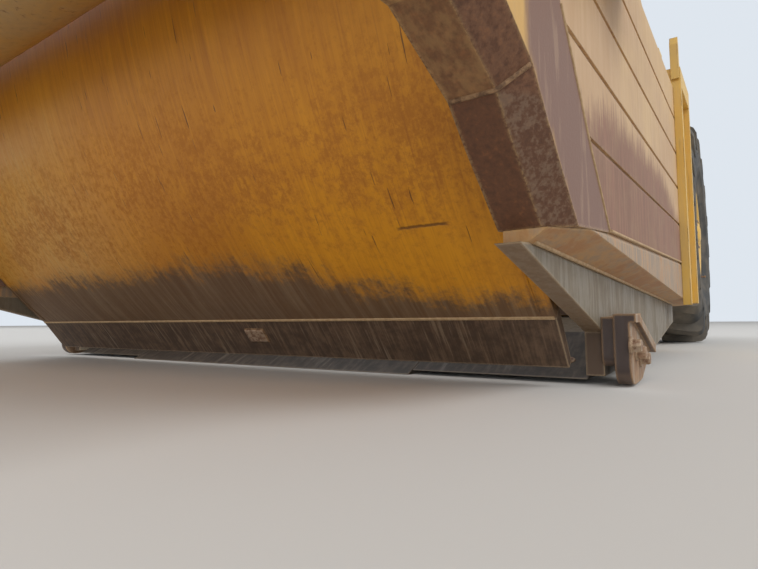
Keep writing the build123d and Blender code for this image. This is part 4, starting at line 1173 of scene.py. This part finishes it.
@dataclass
class WheelDressing(Dressing):
    """Rear wheel of one side: tyre, rim, nuts, hub cap and valve, about the spindle.

    Attributes:
        radius: Radius over the lugs, in millimetres.
        lug_width: Width of a lug at its foot, less its slopes.
        nut_ring: Radius of the ring of nuts.
        carcass: Radius and distance outwards of the carcass's corners.
        lug_stations: Distance outwards of a lug's sections, with the radius of their foot and top.
        lug_foot: How much further out a lug's foot reaches on each side.
        lug_top: How much narrower its top is on each side.
        lug_sink: Depth of the foot in the carcass.
        sides: Number of sides of the rim.
        nut_seat: Distance outwards of the nuts' seats.
        nut: Width over the flats and height of a nut.
        stud: Radius and height of the corners of a stud's end.
        cap: The same of the hub cap.
        screw_place: Radius and distance outwards of the cap's screws.
        screw: Width over the flats and height of such a screw.
        stem: Radius and height of the valve stem's corners.
        stem_place: Distance of the stem from the spindle, and its angle in radians.
        face: Radius and distance outwards of the rim's outer side.
        back: The same of its inner side.
        half: Half of the tyre's width.
        spindle: Centre of the wheel, in the model's frame.
    """

    side: Side
    radius: float = 874.5
    lug_width: float = 90.0
    lug_length: float = 300.0
    lug_slant: float = 22.0
    lug_count: int = 34
    lug_foot: float = 11.0
    lug_top: float = 4.0
    lug_sink: float = 8.0
    sides: int = 112
    nuts: int = 20
    nut_ring: float = 290.0
    nut_seat: float = 60.0
    nut: Pair = (38.0, 24.0)
    stud: Profile = ((11, 20), (11, 44), (9, 47))
    cap: Profile = (
        (84, 262), (128, 277), (130, 291), (122, 297), (92, 300), (78, 312), (46, 321), (14, 323))
    screws: int = 10
    screw_place: Pair = (108.0, 298.0)
    screw: Pair = (17.0, 9.0)
    stem: Profile = ((7, 255), (7, 300), (5, 318), (8, 318), (8, 332))
    stem_place: Pair = (392.0, 0.55)
    carcass: Profile = (
        (412, 262), (424, 281), (440, 290), (456, 298), (464, 304), (472, 304), (498, 318), (524, 329),
        (532, 334), (544, 334), (554, 332), (590, 338), (622, 338), (640, 336), (648, 339), (660, 338),
        (668, 332), (706, 327), (748, 316), (782, 297), (806, 270), (821, 225), (829, 150), (832, 70))
    lug_stations: tuple[tuple[float, float, float], ...] = (
        (28, 829, 871), (44, 828, 874), (150, 822, 874.5), (240, 806, 873), (292, 775, 866),
        (318, 738, 848), (334, 690, 812), (338, 650, 716))
    face: Profile = (
        (413, 262), (429, 272), (433, 284), (427, 292), (415, 290), (408, 281), (399, 281), (394, 270),
        (386, 262), (380, 238), (375, 150), (370, 92), (358, 70), (336, 61), (232, 60), (214, 68),
        (206, 120), (198, 214), (190, 250), (178, 270), (158, 279), (84, 279))
    back: Profile = (
        (84, -110), (190, -110), (378, 12), (380, -240), (404, -276), (420, -288), (432, -282),
        (429, -270), (413, -262))
    half: float = field(init=False)
    spindle: Vector = field(init=False)

    def __post_init__(self) -> None:
        """Read the tyre's width and the spindle's place from the frame."""
        low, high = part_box(f"tyre_{self.side.label}")
        self.half = (high.y - low.y) / 2 / MM
        self.spindle = Vector(self.bowl.joints[f"wheel_{self.side.label}_spin"]["pos_m"])

    def build(self) -> None:
        """Make the wheel's pieces."""
        self.tyre()
        self.rim()
        self.hub()

    def part(self, name: str, finish: str, replaces: Sequence[str] = ()) -> AbstractContextManager[Forge]:
        """Open a piece of this wheel; only the tyre has a slot of its own.

        Args:
            name: The piece's name, without the side.
            finish: Name of its finish.
            replaces: CAD nodes that it stands for, without the side.

        Returns:
            The piece, to be opened with a with statement.
        """
        label = self.side.label
        slot = "tyre_rubber" if finish == "tyre_rubber" else "rim_yellow"
        return self.piece(f"{name}_{label}", f"wheel_{label}", slot, finish,
                          [f"{node}_{label}" for node in replaces])

    def place(self, radius: float, turn: float, out: float) -> Vector:
        """Give a place about the spindle.

        Args:
            radius: Distance from the spindle, in millimetres.
            turn: Angle in radians, from straight down and backwards over the top.
            out: Distance outwards from the wheel's middle.

        Returns:
            The place in the model's frame.
        """
        offset = Vector((-math.sin(turn) * radius, self.side.value * out, -math.cos(turn) * radius))
        return self.spindle + offset * MM

    def outwards(self, radius: float, turn: float, out: float) -> Matrix:
        """Give a frame at a place about the spindle whose Z points outwards."""
        return facing_matrix(self.place(radius, turn, out), Vector((0, self.side.value, 0)))

    def rings(self, profile: Sequence[Pair], segments: int) -> list[list[Vector]]:
        """Turn a profile of radii and distances outwards about the spindle."""
        return [[self.place(radius, turn, out) for turn in turns(segments)] for radius, out in profile]

    def tyre(self) -> None:
        """Make the smooth carcass and its slanted lugs, which stand for the CAD tyre."""
        slant = math.radians(self.lug_slant)
        spread = (self.lug_length * math.sin(slant) + self.lug_width * math.cos(slant)) / 2
        settle = math.asin(spread / self.radius)
        reach = (self.lug_length * math.cos(slant) + self.lug_width * math.sin(slant)) / 2
        middle = self.half - reach - 2
        mirrored = [(radius, -out) for radius, out in reversed(self.carcass)]
        with self.part("tyre_tread", "tyre_rubber", ("tyre",)) as forge:
            forge.loft(self.rings([*self.carcass, *mirrored], self.lug_count * 4), around=True)
            for step, turn in enumerate(turns(self.lug_count)):
                self.lug(forge, turn + settle, 1 if step % 2 else -1, middle, slant)

    def lug(self, forge: Forge, turn: float, hand: int, middle: float, slant: float) -> None:
        """Lay one tread lug over the shoulder.

        Args:
            forge: The tyre.
            turn: Angle of the lug's middle.
            hand: The half of the tread that it lies on.
            middle: Distance of its middle from the wheel's middle.
            slant: Its slant in radians.
        """
        rings = []
        foot_half, top_half = self.lug_width / 2 + self.lug_foot, self.lug_width / 2 - self.lug_top
        for out, root, top in self.lug_stations:
            along = -math.tan(slant) * (out - middle)
            foot = root - self.lug_sink
            corners = ((-foot_half, foot), (-top_half, top), (top_half, top), (foot_half, foot))
            rings.append([self.place(radius, turn - (along + across) / radius, hand * out)
                          for across, radius in corners])
        forge.loft(rings)

    def rim(self) -> None:
        """Make the rim with its flanges, lock ring, dished disc and hub, which stands for the CAD rim."""
        with self.part("rim_face", "rim_yellow", ("rim",)) as forge:
            forge.loft(self.rings([*self.face, *self.back], self.sides), around=True)

    def hub(self) -> None:
        """Set the wheel nuts, the hub cap with its screws, and the valve stem."""
        with self.part("wheel_nuts", "bolt_steel") as forge:
            for turn in turns(self.nuts):
                where = self.outwards(self.nut_ring, turn, self.nut_seat)
                forge.hex_bolt(where, *self.nut)
                forge.turned(self.stud, where, 12)
        with self.part("hub_cap", "rim_yellow") as forge:
            forge.turned(self.cap, self.outwards(0, 0, 0), 48)
        ring, out = self.screw_place
        with self.part("hub_screws", "bolt_steel") as forge:
            for turn in turns(self.screws, 0.5):
                forge.hex_bolt(self.outwards(ring, turn, out), *self.screw)
            forge.turned(self.stem, self.outwards(*self.stem_place, 0), 14)


@dataclass
class CylinderDressing(Dressing):
    """Gland screws, ports and welded collar of one cylinder's barrel.

    Attributes:
        name: Name of the barrel's body.
        eye: Centre of the barrel's eye, in the bowl's frame.
        aim: Direction of the rod, in the bowl's frame.
        lead: Distance from the eye to the barrel.
        upward: Side of the barrel that the ports are on.
        port_insets: Distances of the two ports from the barrel's ends.
        port: Radius and height of the corners of a port's boss.
        gland_screw: Width over the flats and height of a gland's screw.
        plug: The same of a port's plug.
    """

    name: str
    eye: Vector
    aim: Vector
    radius: float
    lead: float
    length: float
    rod: float
    upward: Vector
    port_insets: Pair = (46.0, 74.0)
    port: Profile = ((19, 0), (19, 20), (17, 22))
    gland_screws: int = 8
    gland_screw: Pair = (12.0, 7.0)
    plug: Pair = (24.0, 10.0)

    def build(self) -> None:
        """Make the pieces of the barrel."""
        bowl = self.bowl
        base = bowl.at(*self.eye)
        way, up = bowl.way(self.aim).normalized(), bowl.way(self.upward).normalized()
        up = (up - way * up.dot(way)).normalized()
        side = way.cross(up)
        end = self.lead + self.length
        ports = (self.lead + self.port_insets[0], end - self.port_insets[1])
        where = facing_matrix(base, way)
        gap = self.rod + 0.8
        with self.piece(f"{self.name}_fittings", self.name, "machine_yellow", "machine_yellow") as forge:
            forge.turned([(self.radius - 3, self.lead - 1), (self.radius + 5, self.lead + 6),
                          (self.radius + 5, self.lead + 16), (self.radius - 3, self.lead + 24)], where, 40)
            forge.turned([(gap, end - 3), (self.radius - 6, end - 3), (self.radius - 8, end + 8),
                          (self.rod + 10, end + 10), (gap, end + 10)], where, 40, closed=True)
            for port in ports:
                boss = facing_matrix(base + (way * port + up * (self.radius - 5)) * MM, up)
                forge.turned(self.port, boss, 16)
        with self.piece(f"{self.name}_screws", self.name, "machine_yellow", "bolt_steel") as forge:
            for angle in turns(self.gland_screws):
                outwards = (up * math.cos(angle) + side * math.sin(angle)) * (self.radius - 1)
                spot = base + (way * (end - 1) + outwards) * MM
                forge.hex_bolt(facing_matrix(spot, way), *self.gland_screw)
            for port in ports:
                plug = facing_matrix(base + (way * port + up * (self.radius + 16)) * MM, up)
                forge.hex_bolt(plug, *self.plug)


@dataclass
class DraftDressing(Dressing):
    """Trunnion retainers, hitch collars and beads of the draft frame.

    Attributes:
        trunnion: Radius of the trunnions.
        retainer: How far a retainer ring and its screws stand outside the trunnion.
        tube_probe: Y at which the tube is clear of its brackets.
        neck_arc: First and last angle of the beads between tube and gooseneck, in degrees.
        neck_ends: Distances of the gooseneck's long beads from its rear and its front.
        neck_probe: Inset of the lines that find the gooseneck's top and underside.
        neck_inset: Distance of the long beads from these.
        kingpin: Radius of the kingpin's bore.
        collar: How far a collar and its screws stand outside that bore.
        collar_probe: Distance from the bore's axis at which the ears are found, in metres.
    """

    trunnion: float = 90.0
    retainer: Pair = (56.0, 34.0)
    retainer_screw: Pair = (18.0, 6.5)
    tube: float = 200.0
    tube_probe: float = 900.0
    tube_bead: float = 8.0
    neck_arc: Pair = (-62.0, 112.0)
    neck_ends: Pair = (300.0, 12.0)
    neck_steps: int = 79
    neck_probe: float = 7.0
    neck_inset: float = 9.0
    neck_bead: float = 6.0
    kingpin: float = 65.0
    collar: Pair = (52.0, 30.0)
    collar_probe: float = 0.13
    collar_screw: Pair = (20.0, 11.0)
    screws: int = 8

    def build(self) -> None:
        """Make the draft frame's pieces."""
        for side in Side:
            self.trunnion_ring(side)
        self.tube_beads()
        self.neck_beads()
        self.hitch_collars()

    def part(self, name: str, finish: str) -> AbstractContextManager[Forge]:
        """Open a piece of the draft frame."""
        return self.piece(name, "draft_frame", "machine_yellow", finish)

    def trunnion_ring(self, side: Side) -> None:
        """Bolt a retainer ring round the trunnion on the arm's boss.

        Args:
            side: The machine's side.
        """
        bowl, sign = self.bowl, side.value
        pivot = bowl.joint("bowl_lift")
        boss_y = bowl.reach(f"draft_arm_{side.label}")[1]
        outward = Vector((0, sign, 0))
        inner, outer, ring = (self.trunnion + more for more in (1.5, *self.retainer))
        with self.part(f"trunnion_ring_{side.label}", "machine_yellow") as forge:
            forge.turned([(inner, boss_y - 4), (outer, boss_y - 4), (outer, boss_y + 6),
                          (outer - 3, boss_y + 8), (inner, boss_y + 8)],
                         facing_matrix(bowl.at(pivot.x, 0, pivot.z), outward), 64, closed=True)
        with self.part(f"trunnion_screws_{side.label}", "bolt_steel") as forge:
            for turn in turns(self.screws, 0.5):
                spot = bowl.at(pivot.x + ring * math.cos(turn), sign * (boss_y + 7),
                               pivot.z + ring * math.sin(turn))
                forge.hex_bolt(facing_matrix(spot, outward), *self.retainer_screw)

    def tube_beads(self) -> None:
        """Weld the cross tube to the arms and to the gooseneck."""
        bowl = self.bowl
        low = bowl.extent("draft_tube")[0]
        x = low.x + self.tube
        z = bowl.hit("draft_tube", (x, self.tube_probe, BELOW), (0, 0, 1))[0].z + self.tube
        arm_y = bowl.reach("draft_arm_left")[0] - 2
        neck_y = bowl.extent("gooseneck")[1].y + 2
        with self.part("tube_beads", "yellow_weld") as forge:
            for side in Side:
                self.ring(forge, (x, side.value * arm_y, z), self.tube + 2, self.tube_bead)
                self.ring(forge, (x, side.value * neck_y, z), self.tube + 1, self.tube_bead, self.neck_arc)

    def neck_beads(self) -> None:
        """Lay the four long beads of the gooseneck's box, on its sides just off the corners."""
        bowl = self.bowl
        low, high = bowl.extent("gooseneck")
        outline = sorted((bowl.local(v.co).x, abs(bowl.local(v.co).y))
                         for v in frame["nodes"]["gooseneck"].data.vertices)
        root = max(y for _, y in outline)
        tip = min(y for x, y in outline if x > outline[-1][0] - 60)
        start = max(x for x, y in outline if y > root - 1)
        end = min(x for x, y in outline if y < tip + 1 and x > start)
        rear, front = low.x + self.neck_ends[0], high.x - self.neck_ends[1]
        with self.part("gooseneck_beads", "yellow_weld") as forge:
            for side in (-1, 1):
                for down, height in ((1, ABOVE), (-1, BELOW)):
                    places = []
                    for i in range(self.neck_steps + 1):
                        x = rear + (front - rear) * i / self.neck_steps
                        half = root + (tip - root) * min(1.0, max(0.0, (x - start) / (end - start)))
                        probe = (x, side * (half - self.neck_probe), height)
                        found = bowl.hit("gooseneck", probe, (0, 0, -down))
                        if found:
                            places.append((x, side * half, found[0].z - self.neck_inset * down))
                    self.lay(forge, places, self.neck_bead)

    def hitch_collars(self) -> None:
        """Bolt a bushing collar round the kingpin's bore on each ear."""
        bowl = self.bowl
        low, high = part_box("hitch_head")
        mount = next(m for m in frame["record"]["mounts"] if "kingpin" in m["name"])
        centre = Vector(mount["pos_m"])
        inner, seats = self.kingpin + 2, []
        outer, ring = (inner + more for more in self.collar)
        for start, down in ((high.z + 1, -1), (low.z - 1, 1)):
            probe = Vector((centre.x, centre.y + self.collar_probe, start))
            place = bowl.tree("hitch_head").ray_cast(probe, Vector((0, 0, down)))[0]
            if place is not None:
                outward = Vector((0, 0, -down))
                seats.append((facing_matrix(Vector((centre.x, centre.y, place.z)), outward), outward))
        with self.part("hitch_collars", "machine_yellow") as forge:
            for where, _ in seats:
                forge.turned([(inner, -3), (outer, -3), (outer, 11), (outer - 4, 14), (inner + 4, 14),
                              (inner, 10)], where, 56, closed=True)
        with self.part("hitch_screws", "bolt_steel") as forge:
            for where, outward in seats:
                for turn in turns(self.screws):
                    spot = Vector((ring * math.cos(turn), ring * math.sin(turn), 13)) * MM
                    forge.hex_bolt(facing_matrix(where @ spot, outward), *self.collar_screw)


@dataclass
class RearDressing(Dressing):
    """Bolts of the push block and the ejector, and beads of the rear frame.

    Attributes:
        push_bolts_at: Y and height of the push block's bolts, to both sides of its middle.
        beam_rows: Y of the beads on a side beam.
        beam_ends: Start of these beads from the beam's rear, and their end ahead of the axle.
        blade_margin: Distance of the outermost bolts from the blade's ends.
        blade_rise: Height of the bolts above its foot.
    """

    push_bolts_at: Pair = (250.0, 200.0)
    push_bolt: Pair = (36.0, 20.0)
    beam_rows: Pair = (500.0, 622.0)
    beam_ends: Pair = (25.0, 820.0)
    beam_bead: float = 6.0
    blade_bolts: int = 15
    blade_bolt: Pair = (22.0, 11.0)
    blade_margin: float = 90.0
    blade_rise: float = 70.0

    def build(self) -> None:
        """Make the rear pieces."""
        self.push_bolts()
        self.beam_beads()
        self.ejector_bolts()

    def push_bolts(self) -> None:
        """Bolt the push block to its beam from the beam's side, so that its rear face stays flat."""
        high = self.bowl.extent("push_block")[1]
        across, rise = self.push_bolts_at
        with self.piece("push_bolts", "bowl", "edge_steel", "bolt_steel") as forge:
            for y in (-across, across):
                for z in (-rise, rise):
                    self.bolt_on(forge, "push_block", (high.x + 60, y, z), (-1, 0, 0), *self.push_bolt)

    def beam_beads(self) -> None:
        """Lay two beads along the top of both side beams."""
        bowl = self.bowl
        with self.piece("beam_beads", "bowl", "machine_yellow", "yellow_weld") as forge:
            for side in Side:
                node = f"rear_beam_{side.label}"
                rear = bowl.extent(node)[0].x + self.beam_ends[0]
                for y in self.beam_rows:
                    ends = [(x, side.value * y, ABOVE) for x in (rear, self.beam_ends[1])]
                    self.lay(forge, bowl.trace(node, spaced(*ends, 30), (0, 0, -1)), self.beam_bead)

    def ejector_bolts(self) -> None:
        """Set a row of bolts along the foot of the ejector's face."""
        low, high = self.bowl.extent("ejector_blade")
        x, z = high.x + 600, low.z + self.blade_rise
        row = [(x, y, z) for y in (low.y + self.blade_margin, high.y - self.blade_margin)]
        with self.piece("ejector_bolts", "ejector", "bare_steel", "bolt_steel") as forge:
            for start in spaced(*row, self.blade_bolts):
                self.bolt_on(forge, "ejector_blade", start, (-1, 0, 0), *self.blade_bolt)


class Studio:
    """Floor, lamps, world and camera."""

    EYE_BOWL_MM = (5080.0, 1790.0, -486.0)
    LOOK_AZIMUTH = -145.5
    LOOK_ELEVATION = 3.95
    ROLL = -0.35
    # Name, place, target, side in metres and watts of each soft lamp
    LAMPS = (("key", (-3.0, 25.0, 20.0), (0.0, 0.8, 0.7), 17.0, 5200.0),
             ("front", (25.0, 8.0, 8.0), (0.5, 0.0, 0.6), 14.0, 1900.0),
             ("right", (3.0, -25.0, 18.0), (0.0, 0.0, 0.7), 17.0, 2500.0))

    def __init__(self, bowl: BowlFrame) -> None:
        """Keep the bowl's frame, in which the camera's place is given."""
        self.bowl = bowl

    def floor(self) -> None:
        """Lay a plain pale floor."""
        bpy.ops.mesh.primitive_plane_add(size=120)
        plane = bpy.context.object
        plane.name = "floor"
        s = Shader("floor_pale")
        plane.data.materials.append(s.surface((0.62, 0.61, 0.59), 0.9))

    def world(self) -> None:
        """Light from all round, with a pale background for the eye, for gloss and for glass."""
        world = bpy.data.worlds.new("studio")
        bpy.context.scene.world = world
        s = Shader("studio", world)
        camera, gloss, glass = (s.node("ShaderNodeLightPath", {}, {}, f"Is {ray} Ray")
                                for ray in ("Camera", "Glossy", "Transmission"))
        plain, pale = (s.node("ShaderNodeBackground", {}, {"Color": colour, "Strength": strength})
                       for colour, strength in (((1.0, 1.0, 1.0), 0.50), ((0.80, 0.86, 0.93), 0.92)))
        both = s.node("ShaderNodeMixShader", {}, {0: camera | gloss | glass, 1: plain, 2: pale})
        s.node("ShaderNodeOutputWorld", {}, {"Surface": both})

    def lamps(self) -> None:
        """Hang the square soft lamps."""
        for name, place, target, size, watts in self.LAMPS:
            data = bpy.data.lights.new(name, "AREA")
            data.shape = "SQUARE"
            data.size = size
            data.energy = watts
            lamp = bpy.data.objects.new(name, data)
            bpy.context.scene.collection.objects.link(lamp)
            lamp.location = place
            lamp.rotation_euler = (Vector(target) - Vector(place)).to_track_quat("-Z", "Y").to_euler()

    def camera(self) -> None:
        """Stand the camera where the photo was taken, just above the ground before the bowl."""
        data = bpy.data.cameras.new("camera")
        data.sensor_width = SENSOR_MM
        data.lens = FOCAL_PIXELS / PHOTO_WIDTH * SENSOR_MM
        data.clip_start = 0.02
        data.clip_end = 300
        camera = bpy.data.objects.new("camera", data)
        bpy.context.scene.collection.objects.link(camera)
        azimuth, elevation = math.radians(self.LOOK_AZIMUTH), math.radians(self.LOOK_ELEVATION)
        look = Vector((math.cos(azimuth) * math.cos(elevation), math.sin(azimuth) * math.cos(elevation),
                       math.sin(elevation)))
        turn = look.to_track_quat("-Z", "Y").to_matrix().to_4x4()
        turn = turn @ Matrix.Rotation(math.radians(self.ROLL), 4, "Z")
        camera.matrix_world = Matrix.Translation(self.bowl.at(*self.EYE_BOWL_MM)) @ turn
        bpy.context.scene.camera = camera

    def build(self) -> None:
        """Set up the whole studio."""
        self.floor()
        self.world()
        self.lamps()
        self.camera()
        bpy.context.scene.view_settings.view_transform = "Standard"


class CadFinish:
    """Puts a finish on every CAD node."""

    def build(self) -> None:
        """Dress all nodes by the slots of the record."""
        for part in frame["record"]["subparts"]:
            node = frame["nodes"][part["node"]]
            node.data.materials.clear()
            finish = NODE_FINISHES.get(part["node"], part["material_slot"])
            node.data.materials.append(material(finish))


# Name, radius, distance from the eye, length, rod's radius and side of the ports of each barrel
CYLINDERS = (("lift_barrel", 85.0, 110.0, 520.0, 42.0, (1, 0, 0)),
             ("apron_barrel", 62.0, 90.0, 480.0, 30.0, (0, 0, 1)))


def cylinders(bowl: BowlFrame) -> list[CylinderDressing]:
    """List the four side cylinders from their joints.

    Args:
        bowl: The bowl's frame.

    Returns:
        The dressing of each barrel.
    """
    made = []
    for side in Side:
        for name, radius, lead, length, rod, upward in CYLINDERS:
            body = f"{name}_{side.label}"
            slide = Vector(bowl.joints[f"{body.replace('barrel', 'rod')}_slide"]["axis"])
            made.append(CylinderDressing(bowl, body, bowl.joint(f"{body}_turn"), bowl.back.to_3x3() @ slide,
                                         radius, lead, length, rod, Vector(upward)))
    return made


def main() -> None:
    """Build the dressed model in order."""
    bowl = BowlFrame()
    Shader.bowl = bowl
    Studio(bowl).build()
    CadFinish().build()
    for dressing in (ApronDressing(bowl), BowlDressing(bowl), DraftDressing(bowl), RearDressing(bowl),
                     *cylinders(bowl), *(WheelDressing(bowl, side) for side in Side)):
        dressing.build()


if __name__ == "__main__":
    main()
